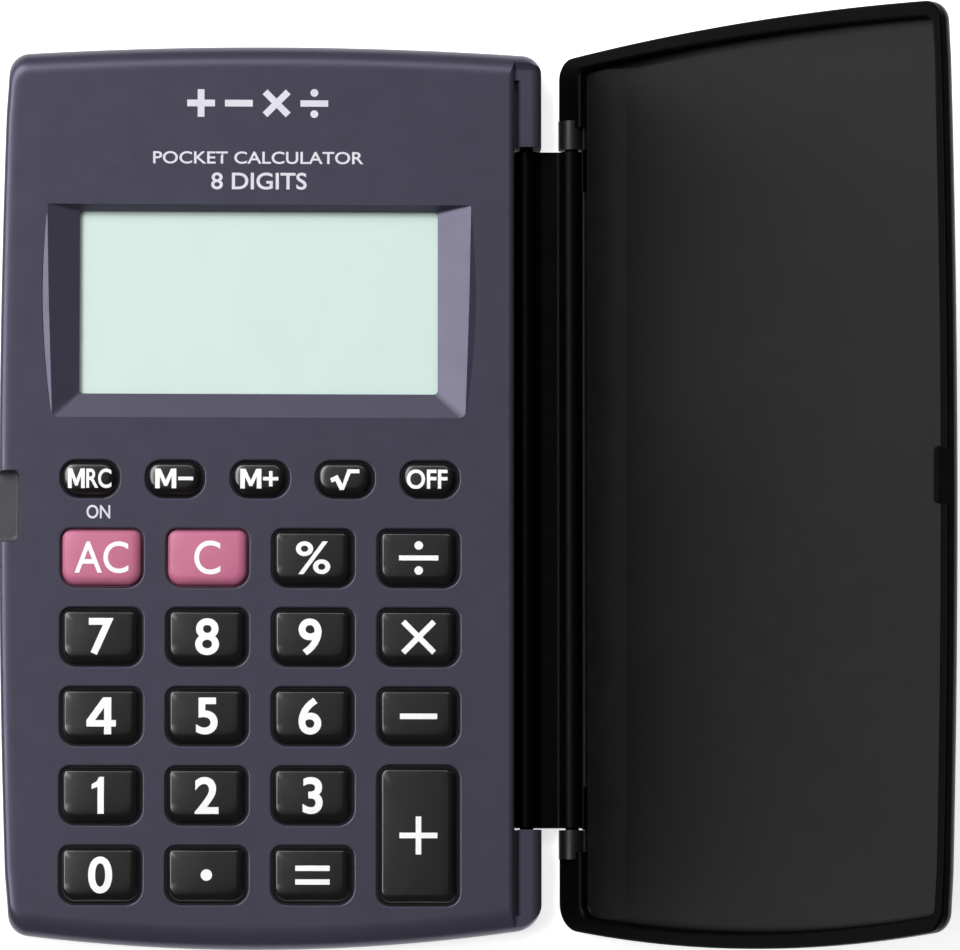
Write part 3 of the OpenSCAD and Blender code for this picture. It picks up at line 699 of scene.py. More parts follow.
def flat_shapes(outlines):
    """Flat filled outlines as one mesh."""
    bm = bmesh.new()
    for outline in outlines:
        bm.faces.new([bm.verts.new((x, y, 0)) for x, y in outline])
    mesh = bpy.data.meshes.new("sign")
    bm.to_mesh(mesh)
    bm.free()
    return mesh


def bar(x, y, length, thick, turn=0.0):
    """A straight stroke about a point."""
    c = math.cos(math.radians(turn))
    s = math.sin(math.radians(turn))
    corners = [(-length / 2, -thick / 2), (length / 2, -thick / 2),
               (length / 2, thick / 2), (-length / 2, thick / 2)]
    return [(x + u * c - v * s, y + u * s + v * c) for u, v in corners]


def dot(x, y, r):
    return circle(x, y, r, 24)


def cross_outline(length, thick, turn=0.0):
    h = length / 2
    t = thick / 2
    points = [(t, t), (t, h), (-t, h), (-t, t), (-h, t), (-h, -t),
              (-t, -t), (-t, -h), (t, -h), (t, -t), (h, -t), (h, t)]
    c = math.cos(math.radians(turn))
    s = math.sin(math.radians(turn))
    return [(x * c - y * s, x * s + y * c) for x, y in points]


def root_outline():
    """The root sign: a short tick, the long stroke and the bar over it."""
    return [(-2.1, 0.05), (-1.05, 0.55), (-0.35, -0.75), (0.35, 1.35), (2.0, 1.35), (2.0, 0.8),
            (0.78, 0.8), (-0.15, -1.55), (-0.75, -1.55), (-1.35, -0.3), (-1.85, -0.5)]


def letter_m(height, width):
    """A capital M, from its left foot."""
    shape = [(0, 0), (0, 1), (0.26, 1), (0.525, 0.42), (0.79, 1), (1.05, 1), (1.05, 0),
             (0.82, 0), (0.82, 0.62), (0.60, 0.12), (0.45, 0.12), (0.23, 0.62), (0.23, 0)]
    return [(x * width / 1.05, (y - 0.5) * height) for x, y in shape]


def numeral_one(height):
    """A 1 with a slanted flag."""
    shape = [(0.09, -0.5), (0.09, 0.5), (-0.04, 0.5), (-0.10, 0.38), (-0.24, 0.30),
             (-0.24, 0.17), (-0.08, 0.23), (-0.08, -0.5)]
    return [(x * height, y * height) for x, y in shape]


def joined(first, second):
    """The second mesh's shapes added to the first's."""
    bm = bmesh.new()
    bm.from_mesh(first)
    bm.from_mesh(second)
    bm.to_mesh(first)
    bm.free()
    bpy.data.meshes.remove(second)
    return first


def memory_legend(text):
    """MRC, M- or M+."""
    height = 2.75
    if text == "MRC":
        m = flat_shapes([moved(letter_m(height, 2.35), -3.03)])
        rest = lettering("RC", height, 3.5, 0.02)
        for v in rest.vertices:
            v.co.x += 1.28
        return joined(m, rest)
    sign = bar(1.5, 0, 2.1, 0.5) if text == "M-" else moved(cross_outline(2.15, 0.5), 1.5)
    return flat_shapes([moved(letter_m(height, 2.95), -2.75), sign])


def numeral_four():
    """A heavy 4 with a small counter: a stem, two bars and a slanting stroke."""
    stem = [(0.45, -2.575), (1.45, -2.575), (1.45, 2.575), (0.45, 2.575)]
    left_bar = [(-2.0, -1.5), (0.45, -1.5), (0.45, -0.6), (-2.0, -0.6)]
    right_bar = [(1.45, -1.5), (2.1, -1.5), (2.1, -0.6), (1.45, -0.6)]
    slant = [(-2.0, -0.6), (-0.8, -0.6), (0.45, 1.15), (0.45, 2.575), (0.3, 2.575)]
    return [stem, left_bar, right_bar, slant]


# A kind of lettering's height, its overall width where that is set, and its added weight.
LETTERS = {"digit": (5.15, None, 0.022), "all_clear": (4.45, 7.5, 0.006),
           "clear": (4.75, 3.65, 0.006), "percent": (4.6, 4.8, 0.01),
           "label": (2.75, 5.7, 0.022)}
SIGNS = {"root": [root_outline()],
         "divide": [bar(0, 0, 5.5, 0.7), dot(0, 1.75, 0.6), dot(0, -1.75, 0.6)],
         "times": [cross_outline(6.1, 0.78, 45)],
         "minus": [bar(0, 0, 5.2, 0.78)],
         "plus": [cross_outline(5.3, 0.78)],
         "equals": [bar(0, 0.95, 4.8, 0.75), bar(0, -0.95, 4.8, 0.75)],
         "point": [dot(0, 0, 0.8)],
         "1": [numeral_one(5.15)],
         "4": numeral_four()}


def legend_mesh(kind, text):
    if kind == "memory":
        return memory_legend(text)
    if kind in LETTERS and text not in SIGNS:
        return lettering(text, *LETTERS[kind])
    return flat_shapes(SIGNS[text or kind])


def dice(mesh, pitch):
    """Cuts a flat mesh along a grid of lines, so that it can follow a curved surface."""
    bm = bmesh.new()
    bm.from_mesh(mesh)
    bmesh.ops.remove_doubles(bm, verts=bm.verts, dist=0.0001)
    xs = [v.co.x for v in bm.verts]
    ys = [v.co.y for v in bm.verts]
    for axis, low, high in (((1, 0, 0), min(xs), max(xs)), ((0, 1, 0), min(ys), max(ys))):
        count = int((high - low) / pitch)
        for i in range(1, count + 1):
            where = Vector(axis) * (low + i * (high - low) / (count + 1))
            everything = bm.verts[:] + bm.edges[:] + bm.faces[:]
            bmesh.ops.bisect_plane(bm, geom=everything, dist=0.0001, plane_co=where,
                                   plane_no=Vector(axis))
    bm.to_mesh(mesh)
    bm.free()
    return mesh


def printed(name, mesh, at, surface, material, body, aside=0.0):
    """Lays flat letters on a surface as a thin film of ink, moved aside from the given point."""
    for v in mesh.vertices:
        v.co.x += aside
    dice(mesh, 1.0)
    lift = 0.02
    for v in mesh.vertices:
        v.co = Vector((v.co.x + at[0], v.co.y + at[1], surface(v.co.x, v.co.y) + lift))
    bm = bmesh.new()
    bm.from_mesh(mesh)
    bm.normal_update()
    bmesh.ops.reverse_faces(bm, faces=[f for f in bm.faces if f.normal.z < 0])
    bm.to_mesh(mesh)
    bm.free()
    mesh.transform(Matrix.Scale(MM, 4))
    mesh.shade_smooth()
    mesh.materials.clear()
    mesh.materials.append(material)
    obj = put(name, mesh)
    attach(obj, body)
    return obj


# Legends that stand a little to the left on their caps.
ASIDE = {"9": -0.4, "6": -0.4, "OFF": -0.4}


def make_keys():
    black = key_black_material()
    pink = key_pink_material()
    white = ink_material()
    for key in KEYS:
        rose = key["node"] in ("key_all_clear", "key_clear")
        cap = key_cap(key)
        cap.data.materials.append(pink if rose else black)
        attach(cap, key["node"])
        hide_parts(key["node"])
        kind, text = key["legend"]
        printed(key["node"] + "_legend", legend_mesh(kind, text), key["at"],
                lambda x, y: crown(key, x, y), white, key["node"], ASIDE.get(text, 0.0))


# ---- Upper shell ----


def key_opening(key):
    """The cutter for one key's opening, which flares where it meets the face."""
    w, d = key["size"]
    rt, rb = key["corners"]
    cx, cy = key["at"]
    r = 0.3
    levels = [(KEY_GAP, PLATE_Z - 1), (KEY_GAP, FACE_Z - r)]
    for i in range(1, 9):
        t = math.radians(82 * i / 8)
        levels.append((KEY_GAP + r - r * math.cos(t), FACE_Z - r + r * math.sin(t)))
    levels.append((KEY_GAP + r, FACE_Z + 0.1))
    rings = [[(x + cx, y + cy, z) for x, y in cap_outline(w, d, rt, rb, grow)]
             for grow, z in levels]
    return loft("opening", rings)


def rounded(corners, radii, steps=10):
    """A convex outline, anticlockwise, with each corner rounded by its own radius."""
    points = []
    n = len(corners)
    for i in range(n):
        here = Vector(corners[i])
        before = (Vector(corners[i - 1]) - here).normalized()
        after = (Vector(corners[(i + 1) % n]) - here).normalized()
        half = before.angle(after) / 2
        back = radii[i] / math.tan(half)
        start = here + before * back
        end = here + after * back
        centre = here + (before + after).normalized() * (radii[i] / math.sin(half))
        a0 = math.atan2(start.y - centre.y, start.x - centre.x)
        turn = math.atan2(end.y - centre.y, end.x - centre.x) - a0
        turn = (turn + math.pi) % (2 * math.pi) - math.pi
        for k in range(steps + 1):
            a = a0 + turn * k / steps
            points.append((centre.x + radii[i] * math.cos(a), centre.y + radii[i] * math.sin(a)))
    return points


def display_cutter():
    """The sloped surround of the display: its inner edge is the view, its outer edge the face."""
    left = VIEW_X0 - BEZEL_LEFT
    right = VIEW_X1 + BEZEL_RIGHT
    top = VIEW_Y1 + BEZEL_TOP
    low = VIEW_Y0 - BEZEL_LOW
    outer = [(right, top), (left, top), (left + BEZEL_PULL_MIDDLE, VIEW_MIDDLE_Y),
             (left + BEZEL_PULL_LOW, low), (right - BEZEL_PULL_LOW, low),
             (right - BEZEL_PULL_MIDDLE, VIEW_MIDDLE_Y)]
    inner = [(VIEW_X1, VIEW_Y1), (VIEW_X0, VIEW_Y1), (VIEW_X0, VIEW_MIDDLE_Y),
             (VIEW_X0, VIEW_Y0), (VIEW_X1, VIEW_Y0), (VIEW_X1, VIEW_MIDDLE_Y)]
    outer_ring = rounded(outer, [0.3, 0.3, 30, 0.9, 0.9, 30])
    inner_ring = rounded_like(inner, [0.6, 0.6, 0, 0.6, 0.6, 0])
    return loft("funnel", [at_z(inner_ring, PANE_Z - 0.3), at_z(inner_ring, LIP_Z),
                           at_z(outer_ring, FACE_Z), at_z(outer_ring, FACE_Z + 0.6)])


def recess_edge(y, side):
    """Where the display's surround meets the face, on the left (-1) or on the right (1)."""
    top = VIEW_Y1 + BEZEL_TOP
    low = VIEW_Y0 - BEZEL_LOW
    if y > VIEW_MIDDLE_Y:
        back = BEZEL_PULL_MIDDLE * (top - y) / (top - VIEW_MIDDLE_Y)
    else:
        more = BEZEL_PULL_LOW - BEZEL_PULL_MIDDLE
        back = BEZEL_PULL_MIDDLE + more * (VIEW_MIDDLE_Y - y) / (VIEW_MIDDLE_Y - low)
    return VIEW_X0 - BEZEL_LEFT + back if side < 0 else VIEW_X1 + BEZEL_RIGHT - back


def scallop(side):
    """A shallow lens-shaped facet along the outer edge of the display's surround."""
    y0 = VIEW_Y0 - 2.6
    y1 = VIEW_Y1 - 0.6
    most_wide = 0.95
    slope = 0.21
    overlap = 0.4
    steps = 24
    rings = []
    for i in range(steps + 1):
        t = i / steps
        swell = math.sin(math.pi * (0.02 + 0.96 * t)) ** 0.8
        y = y0 + (y1 - y0) * t
        edge = recess_edge(y, side) + side * 0.05
        wide = most_wide * swell
        far = edge + side * wide
        near = edge - side * overlap
        profile = [(far, FACE_Z + 1), (far, FACE_Z - slope * wide),
                   (near, FACE_Z + slope * overlap), (near, FACE_Z + 1)]
        rings.append([(x, y, z) for x, z in profile[::side]])
    return loft("scallop", rings)


def rounded_like(corners, radii, steps=10):
    """Like rounded, but a corner of radius 0 keeps its point count by standing still."""
    points = []
    n = len(corners)
    for i in range(n):
        if radii[i] == 0:
            here = Vector(corners[i])
            along = (Vector(corners[(i + 1) % n]) - Vector(corners[i - 1])).normalized()
            for k in range(steps + 1):
                p = here + along * 2.0 * (k / steps - 0.5)
                points.append((p.x, p.y))
        else:
            one = rounded([corners[i - 1], corners[i], corners[(i + 1) % n]],
                          [0.1, radii[i], 0.1], steps)
            points += one[steps + 1:2 * (steps + 1)]
    return points


def ledge_profile(ledge):
    """What is taken off beside the leaf: the face's rounded edge and the ledge's rounded edge."""
    edge_r = 0.9
    outer_r = 1.5
    top = FACE_Z + 1.5
    profile = [(FACE_EDGE_X - edge_r, top), (FACE_EDGE_X - edge_r, FACE_Z + 0.02)]
    profile += arc(FACE_EDGE_X - edge_r, FACE_Z - edge_r, edge_r, 84, 0, 8)
    profile += [(FACE_EDGE_X, LEDGE_Z)]
    profile = [(x, max(z, ledge)) for x, z in profile]
    profile += arc(HALF_W - outer_r, ledge - outer_r, outer_r, 90, 0, 10)
    profile += [(HALF_W + 1, ledge - outer_r), (HALF_W + 1, top)]
    return profile


def ledge_cutter():
    """The ledges are level beside the leaf and climb to the face towards both ends."""
    steps = 8
    climb = []
    for i in range(steps + 1):
        t = i / steps
        share = t * t * (3 - 2 * t)
        climb.append((RAMP_START_Y + (RAMP_END_Y - RAMP_START_Y) * t,
                      LEDGE_Z + (FACE_Z + 0.02 - LEDGE_Z) * share))
    climb.append((HALF_L + 1, FACE_Z + 0.02))
    along = [(-y, z) for y, z in climb[::-1]] + climb
    return loft("ledge", [[(x, y, z) for x, z in ledge_profile(ledge)] for y, ledge in along])


def grooves():
    """A groove between the face's edge and each ledge."""
    wall = FACE_EDGE_X + GROOVE_W
    chamfer = 0.35
    profile = [(FACE_EDGE_X, FACE_Z + 1), (FACE_EDGE_X, GROOVE_FLOOR_Z), (wall, GROOVE_FLOOR_Z),
               (wall, LEDGE_Z - 0.3), (wall + chamfer, LEDGE_Z + 0.05), (wall + chamfer, FACE_Z + 1)]
    return [along_y("groove", profile, y0, y1)
            for y0, y1 in ((LINK_TOP, GROOVE_END_Y), (-GROOVE_END_Y, LINK_BOTTOM))]


def thumb_notch():
    """A scooped finger notch in the thumb edge."""
    depth = 2.8
    rings = []
    for grow, z in ((-0.5, 5.6), (-0.15, 5.75), (0.0, 6.1), (0.0, 7.0), (0.12, 7.32), (0.3, 7.5)):
        reach = -HALF_W + depth + grow
        outline = rounded([(-HALF_W - 2, NOTCH_Y0 - grow), (reach, NOTCH_Y0 - grow),
                           (reach, NOTCH_Y1 + grow), (-HALF_W - 2, NOTCH_Y1 + grow)],
                          [0.1, 0.8, 0.8, 0.1])
        rings.append(at_z(outline, z))
    return loft("notch", rings)


def leaf_slot():
    return box("slot", SLOT_X, HALF_W + 1, LINK_BOTTOM - END_GAP, LINK_TOP + END_GAP, -1, 8.4)


def upper_inside():
    """The hollow of the upper shell, less the display's frame, the posts and the notch's wall."""
    inside = prism("inside", cavity(WALL), SPLIT_Z - 1, PLATE_Z)
    solids = [box("frame", VIEW_X0 - 5, VIEW_X1 + 5, VIEW_Y0 - 4, VIEW_Y1 + 2.4,
                  PANE_Z, PLATE_Z + 1),
              box("notch_wall", -HALF_W - 1, -HALF_W + 4.3, -7.4, 5.4, SPLIT_Z + 0.75, PLATE_Z + 1)]
    for x, y in CASE_SCREWS:
        solids.append(drum("post", x, y, 2.0, 3.0, PLATE_Z + 1))
    return cut(inside, solids)


def make_upper_case():
    rings = [at_z(plan(SEAM, SEAM, HALF_W - SEAM), SPLIT_Z),
             at_z(plan(0, 0), SPLIT_Z + SEAM)]
    steps = 36
    for i in range(steps + 1):
        t = math.radians(90 * i / steps)
        side = 1 - max(0.0, 1 - math.sin(t) ** SIDE_POWER) ** (1 / SIDE_POWER)
        end = 1 - math.cos(t)
        rings.append(at_z(plan(SHOULDER_SIDE * side, SHOULDER_END * end),
                          SHOULDER_Z + (FACE_Z - SHOULDER_Z) * math.sin(t)))
    case = loft("upper_case_shell", rings)
    lip = prism("lip", cavity(0.8), SPLIT_Z - 1, SPLIT_Z + 0.75)
    room = PANE_MARGIN + 0.1
    pane_pocket = box("pocket", VIEW_X0 - room, VIEW_X1 + room, VIEW_Y0 - room, VIEW_Y1 + room,
                      PANE_Z - 1, PANE_Z + PANE_T)
    cut(case, [upper_inside(), lip])
    cut(case, [leaf_slot(), ledge_cutter(), thumb_notch(), display_cutter(), pane_pocket]
        + grooves())
    cut(case, [scallop(-1), scallop(1)])
    cut(case, [key_opening(key) for key in KEYS])
    case.data.materials.append(face_material())
    case.data.materials.append(back_material())
    for face in case.data.polygons:
        notch_floor = face.center.x < -HALF_W + 3 and face.normal.z > 0.9 and face.center.z < 5.9
        face.material_index = 1 if notch_floor else 0
    finish_form(case, 11)
    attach(case, "base")
    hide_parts("upper_case")


def face_level(_x, _y):
    return FACE_Z


def make_face_print():
    pale = face_ink_material()
    signs = [cross_outline(3.9, 0.95), bar(0, 0, 3.9, 0.95), cross_outline(4.6, 0.95, 45)]
    dots = [bar(0, 0, 3.9, 0.9), dot(0, 1.5, 0.55), dot(0, -1.5, 0.55)]
    spacing = 5.3
    shapes = [[(x + (i - 1.5) * spacing, y) for x, y in sign] for i, sign in enumerate(signs)]
    shapes += [[(x + 1.5 * spacing, y) for x, y in part] for part in dots]
    printed("four_signs_print", flat_shapes(shapes), (-2.0, 55.2), face_level, pale, "base")
    printed("name_print", lettering("POCKET CALCULATOR", 1.75, 29.5, 0.012), (-1.9, 47.5),
            face_level, pale, "base")
    printed("digits_print", lettering("8 DIGITS", 2.4, 13.4, 0.014), (-1.8, 44.2),
            face_level, pale, "base")
    printed("on_print", lettering("ON", 1.9, 3.3, 0.012), (-24.1, -2.4),
            face_level, pale, "base")


# ---- Lower shell ----


def sector(x, y, r, middle, half, z0, z1):
    return prism("sector", [(x, y)] + arc(x, y, r, middle - half, middle + half, 10), z0, z1)


def make_lower_case():
    r = 1.2
    rings = []
    steps = 8
    for i in range(steps + 1):
        t = math.radians(90 * i / steps)
        inward = r * (1 - math.sin(t))
        rings.append(at_z(plan(inward, inward), r * (1 - math.cos(t))))
    rings.append(at_z(plan(0, 0), SPLIT_Z - SEAM))
    rings.append(at_z(plan(SEAM, SEAM, HALF_W - SEAM), SPLIT_Z))
    case = loft("lower_case_shell", rings)
    cutters = [prism("inside", cavity(WALL), 1.2, SPLIT_Z + 1), leaf_slot(),
               rod("stub_hole", AXIS_A_X, LINK_BOTTOM - 5, LINK_TOP + 5, AXIS_Z, STUB_R + 0.05)]
    for x, y in CASE_SCREWS:
        cutters.append(drum("shank", x, y, SCREW_SHANK_R, -1, 4))
        cutters.append(loft("sink", [at_z(circle(x, y, SCREW_SINK_R + 0.35), -0.35),
                                     at_z(circle(x, y, SCREW_SINK_R), 0.2),
                                     at_z(circle(x, y, SCREW_SINK_R), 1.0)]))
    x, y = CELL_AT
    cutters.append(loft("door_hole", [at_z(circle(x, y, DOOR_HOLE_R + 0.45, 64), -0.35),
                                      at_z(circle(x, y, DOOR_HOLE_R, 64), 0.15),
                                      at_z(circle(x, y, DOOR_HOLE_R, 64), 2.0)]))
    for middle in (60, 240):
        cutters.append(sector(x, y, DOOR_GATE_R, middle, 16, -1, 2))
    panel = rounded([(-22, -34), (22, -34), (22, -12), (-22, -12)], [2, 2, 2, 2])
    cutters.append(prism("label_panel", panel, -1, 0.15))
    cut(case, cutters)
    finish_form(case, 28)
    case.data.materials.append(back_material())
    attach(case, "base")
    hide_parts("lower_case")


# ---- Display ----


def make_display():
    m = PANE_MARGIN
    corners = [(VIEW_X0 - m, VIEW_Y0 - m), (VIEW_X1 + m, VIEW_Y0 - m),
               (VIEW_X1 + m, VIEW_Y1 + m), (VIEW_X0 - m, VIEW_Y1 + m)]
    outline = rounded(corners, [0.3] * 4)
    edge = 0.15
    slim = rounded([(x + (edge if x < 0 else -edge), y + (edge if y < VIEW_MIDDLE_Y else -edge))
                    for x, y in corners], [0.3] * 4)
    pane = loft("display_pane", [at_z(slim, PANE_Z), at_z(outline, PANE_Z + edge),
                                 at_z(outline, PANE_Z + 0.45), at_z(slim, PANE_Z + 0.58)])
    finish_form(pane, 28)
    pane.data.materials.append(pane_material())
    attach(pane, "base")
    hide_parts("display_window")


# ---- Hinge leaf ----


def make_link():
    """Two barrels joined by a thin web, with a stub axle at each end of both."""
    r = BARREL_R
    fillet = 0.8
    reach = 2.19
    rise = 1.4
    turn = math.degrees(math.asin(rise / (r + fillet)))
    a, b = AXIS_A_X, AXIS_B_X
    top = AXIS_Z + rise
    profile = arc(a, AXIS_Z, r, 270, 180, 12)
    profile += arc(a, AXIS_Z, r, 180, turn, 16)[1:]
    profile += arc(a + reach, top, fillet, 180 + turn, 270, 6)
    profile += arc(b - reach, top, fillet, 270, 360 - turn, 6)
    profile += arc(b, AXIS_Z, r, 180 - turn, 0, 16)
    profile += arc(b, AXIS_Z, r, 360, 270, 12)[1:]
    profile = profile[::-1]
    leaf = along_y("hinge_leaf", profile, LINK_BOTTOM, LINK_TOP)
    weld(leaf, [rod("stub", x, LINK_BOTTOM - STUB_L, LINK_TOP + STUB_L, AXIS_Z, STUB_R, 32)
                for x in (a, b)])
    finish_form(leaf, 30, 0.12)
    leaf.data.materials.append(link_material())
    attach(leaf, "link")
    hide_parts("hinge_link")


# ---- Cover ----

PANEL_T = 1.2
COVER_FLOOR = PANEL_T - HINGE_R
RIM_RISE = 0.9
RIM_SIDE = 1.6
RIM_END = 2.2
RIM_HINGE = 2.75
CHANNEL_W = 0.95
CHANNEL_FLOOR = -0.6
COVER_START = 1.9
EDGE_ROUND = 1.6
COVER_END = BODY_W - HINGE_R
KNUCKLE_L = 3.1
THICK_RISE = 0.45
THICK_FLAT_END = 6.8
THICK_END = 10.6


def cover_plan(side_in, end_in, hinge_in):
    points = plan(side_in, end_in, HALF_W - hinge_in, HINGE_CORNER_R - min(end_in, 2))
    return [(AXIS_A_X - x, y) for x, y in points][::-1]


def cover_outside():
    levels = [-HINGE_R * math.cos(math.radians(t)) for t in range(0, 80, 6)]
    levels += [-0.35, 0.0, 0.3]
    rings = []
    for z in levels:
        below = max(0.0, EDGE_ROUND - HINGE_R - z)
        inward = EDGE_ROUND - math.sqrt(max(0.0, EDGE_ROUND ** 2 - below ** 2))
        hinge_in = HINGE_R - math.sqrt(max(0.0, HINGE_R ** 2 - z * z))
        rings.append(at_z(cover_plan(inward + 0.03, inward, hinge_in), z))
    r = 0.3
    for i in range(7):
        t = math.radians(90 * i / 6)
        z = RIM_RISE - r + r * math.sin(t)
        inward = r * (1 - math.cos(t))
        hinge_in = HINGE_R - math.sqrt(HINGE_R ** 2 - z * z) + inward
        rings.append(at_z(cover_plan(inward + 0.03, inward, hinge_in), z))
    return loft("cover_shell", rings)


def dish():
    """The hollow inside the rim: rounded at its floor and where it meets the rim's top."""
    low_r = 1.1
    high_r = 0.6
    rings = []
    for i in range(9):
        t = math.radians(90 * i / 8)
        inset = low_r * (1 - math.sin(t))
        rings.append((inset, COVER_FLOOR + low_r * (1 - math.cos(t))))
    for i in range(7):
        t = math.radians(84 * i / 6)
        rings.append((-high_r * (1 - math.cos(t)), RIM_RISE - high_r + high_r * math.sin(t)))
    rings.append((-high_r - 0.02, RIM_RISE + 0.1))
    rings.append((-high_r - 0.02, RIM_RISE + 1.0))
    form = loft("dish", [at_z(cover_plan(RIM_SIDE + d, RIM_END + d, HINGE_R + RIM_HINGE + d), z)
                         for d, z in rings])
    high = COVER_FLOOR + THICK_RISE
    profile = [(-3, -3), (THICK_END, -3), (THICK_END, COVER_FLOOR), (THICK_FLAT_END, high),
               (-3, high)]
    return cut(form, [along_y("thick_zone", profile, -HALF_L - 5, HALF_L + 5)])


def rib(y0, y1):
    """A low rib beside the leaf's barrel, with a rounded top and rounded ends."""
    x = 2.55
    half = 0.25
    rings = []
    for y, share in ((y0, 0.35), (y0 + 0.08, 0.75), (y0 + 0.25, 1.0),
                     (y1 - 0.25, 1.0), (y1 - 0.08, 0.75), (y1, 0.35)):
        w = half * share
        top = 0.45 - half * (1 - share)
        profile = [(x - w, CHANNEL_FLOOR - 0.1)] + arc(x, top - w, w, 180, 0, 8)
        profile += [(x + w, CHANNEL_FLOOR - 0.1)]
        rings.append([(px, y, pz) for px, pz in profile])
    return loft("rib", rings)


def catch_tab():
    """The tab on the cover's free edge, with a rounded tip."""
    y0 = -5.0
    y1 = 2.6
    outer = COVER_END - 0.02
    rings = []
    for grow, z in ((0.0, 0.0), (0.0, 2.2), (-0.12, 2.45), (-0.35, 2.6)):
        inner = COVER_END - 1.1 - grow * 0.5
        outline = rounded([(inner, y0 - grow), (outer, y0 - grow), (outer, y1 + grow),
                           (inner, y1 + grow)], [0.3] * 4, 4)
        rings.append(at_z(outline, z))
    return loft("tab", rings)


def make_cover():
    top = LINK_TOP + END_GAP
    bottom = LINK_BOTTOM - END_GAP
    cover = cover_outside()
    cut(cover, [dish()])
    cut(cover, [box("knuckle_room", -HINGE_R - 1, COVER_START, bottom - KNUCKLE_L, top + KNUCKLE_L,
                    -HINGE_R - 1, HINGE_R),
                box("channel", COVER_START - 0.5, COVER_START + CHANNEL_W, bottom - KNUCKLE_L,
                    top + KNUCKLE_L, CHANNEL_FLOOR, HINGE_R + 0.5)])
    parts = [rod("knuckle", 0, top, top + KNUCKLE_L + 1, 0, HINGE_R - 0.1),
             rod("knuckle", 0, bottom - KNUCKLE_L - 1, bottom, 0, HINGE_R - 0.1),
             rib(top - 6, top), rib(bottom, bottom + 6), catch_tab()]
    weld(cover, parts)
    cut(cover, [rod("stub_hole", 0, LINK_BOTTOM - STUB_L - 0.4, LINK_TOP + STUB_L + 0.4, 0,
                    STUB_R + 0.05, 32)])
    cover.data.materials.append(cover_material())
    cover.data.materials.append(rim_painted_shade_material())
    cover.data.materials.append(knuckle_painted_highlight_material())
    # Faces high on the rim take the darker copy as painted shade, and the knuckles' faces take the
    # lighter copy as a painted highlight.
    for face in cover.data.polygons:
        middle = face.center
        face.material_index = 1 if middle.z > COVER_FLOOR + 0.55 else 0
        on_barrel = math.hypot(middle.x, middle.z) < HINGE_R - 0.08
        if on_barrel and bottom - KNUCKLE_L < middle.y < top + KNUCKLE_L:
            face.material_index = 2
    finish_form(cover, 30, 0.1, COVER_FRAME)
    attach(cover, "cover")
    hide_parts("cover")


# ---- Parts that keep their own mesh ----


def dress(node, material):
    mesh = frame["nodes"][node].data
    mesh.materials.clear()
    mesh.materials.append(material)


def dress_the_rest():
    steel = metal("zinc_screw", (0.50, 0.50, 0.52), (0.62, 0.62, 0.64), (0.25, 0.4))
    nickel = metal("nickel_strip", (0.55, 0.53, 0.49), (0.66, 0.64, 0.60), (0.22, 0.38), (1, 6, 1))
    dress("case_screws", steel)
    dress("board_screws", steel)
    dress("battery_contact_negative", nickel)
    dress("battery_contact_positive", nickel)
    dress("button_cell", metal("cell_can", grey(0.56), (0.68, 0.68, 0.67), (0.2, 0.34)))
    dress("lcd_reflector", metal("silver_film", (0.70, 0.71, 0.71), (0.78, 0.79, 0.79), (0.4, 0.5)))
    dress("lcd_panel", liquid_crystal_material())
    dress("circuit_board", board_material())
    dress("display_ribbon", ribbon_material())
    dress("controller_chip", moulded("black_resin", grey(0.010), (0.016, 0.016, 0.015),
                                     (0.15, 0.3), grain=0.6, depth=0.02))
    dress("chip_parts", moulded("ceramic_chips", (0.20, 0.14, 0.09), (0.30, 0.22, 0.15),
                                (0.4, 0.55), patch=1.0))
    dress("key_mat", silicone_material())
    dress("contact_pills", moulded("carbon_pill", grey(0.012), grey(0.02),
                                   (0.6, 0.75)))
    dress("battery_door", back_material())


# ---- Stage ----


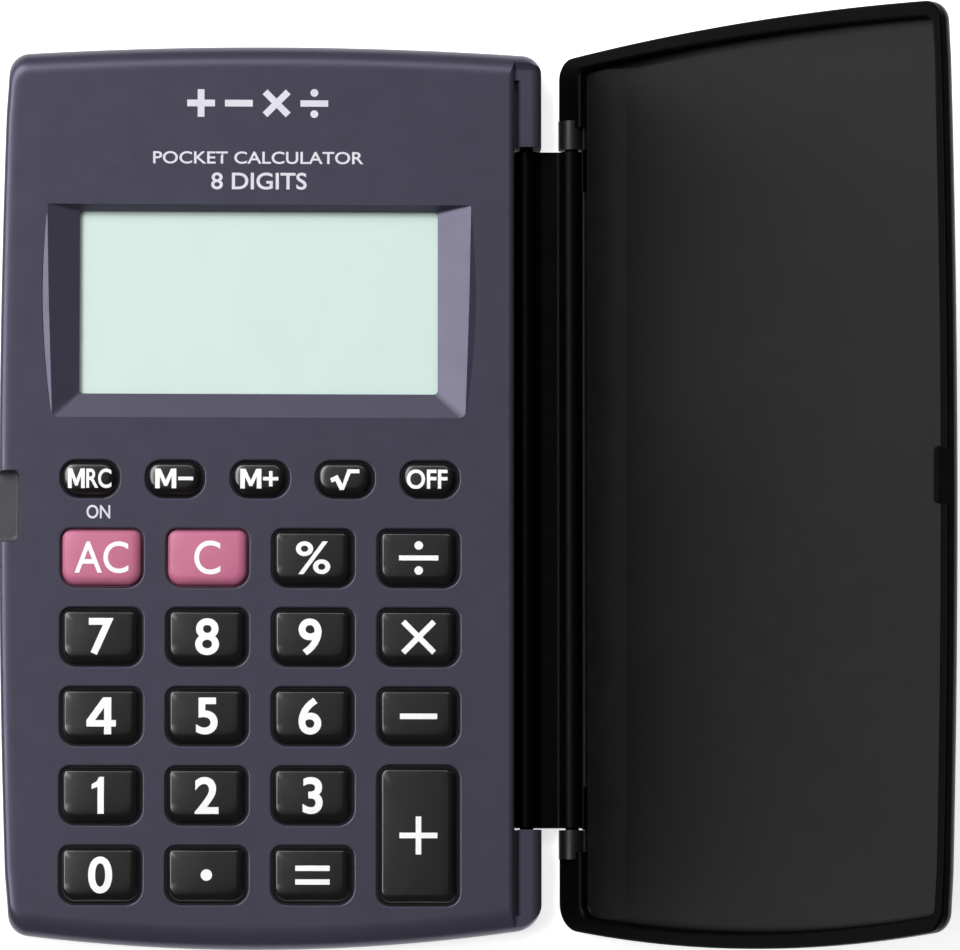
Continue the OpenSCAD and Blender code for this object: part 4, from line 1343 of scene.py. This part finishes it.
def make_floor():
    mesh = bpy.data.meshes.new("floor")
    half = 1.2
    level = -0.00005
    corners = [(-half, -half), (half, -half), (half, half), (-half, half)]
    mesh.from_pydata(at_z(corners, level), [], [(0, 1, 2, 3)])
    floor = put("floor", mesh)
    mat, tree, shader = new_material("pale_floor")
    tone = noise(tree, millimetres(tree), 60.0)
    tree.links.new(ramp(tree, tone, grey(0.90), grey(0.92)),
                   shader.inputs["Base Color"])
    set_input(shader, "Roughness", 0.9)
    set_input(shader, "Specular IOR Level", 0.1)
    set_input(shader, "Emission Color", (1, 1, 1, 1))
    set_input(shader, "Emission Strength", 0.7)
    floor.data.materials.append(mat)


def soft_light(name, towards, distance, size, power):
    """A softbox in a direction from the object, with its long side along the body."""
    light = bpy.data.lights.new(name, "AREA")
    light.shape = "RECTANGLE"
    light.size = size[0]
    light.size_y = size[1]
    light.energy = power
    obj = put(name, light)
    back = Vector(towards).normalized()
    side = Vector((0, 1, 0)).cross(back).normalized()
    along = back.cross(side)
    turn = Matrix((side, along, back)).transposed().to_4x4()
    obj.matrix_world = Matrix.Translation(Vector((0.02, 0, 0.01)) + back * distance) @ turn


def make_lights():
    soft_light("key_light", (-0.60, 0.38, 1.0), 1.2, (0.50, 1.38), 15.5)
    soft_light("overhead", (-0.2, 0.26, 1.0), 1.4, (1.2, 1.2), 1.3)
    soft_light("rear", (-0.05, 0.75, 1.0), 1.2, (1.2, 0.28), 3.4)
    soft_light("low_left", (-0.9, 0.5, 0.3), 1.2, (0.5, 1.2), 1.3)
    world = bpy.data.worlds.new("studio")
    SCENE.world = world
    world.use_nodes = True
    back = world.node_tree.nodes["Background"]
    set_input(back, "Color", (1.0, 1.0, 1.0, 1))
    set_input(back, "Strength", 0.08)


# The photo's viewing angle: the camera's place in metres and its turns in degrees.
CAMERA_AT = (0.00066, -0.06876, 0.86839)
CAMERA_TURNS = (("X", 3.866), ("Y", -1.898), ("Z", 0.142))


def make_camera():
    data = bpy.data.cameras.new("camera")
    data.lens = 231.4
    data.shift_y = 0.10
    data.sensor_width = 36.0
    data.clip_start = 0.01
    camera = put("camera", data)
    turn = NO_TURN
    for axis, degrees in CAMERA_TURNS:
        turn = turn @ Matrix.Rotation(math.radians(degrees), 4, axis)
    camera.matrix_world = Matrix.Translation(CAMERA_AT) @ turn
    SCENE.camera = camera


make_camera()
make_lights()
make_floor()
make_upper_case()
make_face_print()
make_lower_case()
make_display()
make_keys()
make_link()
make_cover()
dress_the_rest()
SCENE.view_settings.view_transform = "Standard"
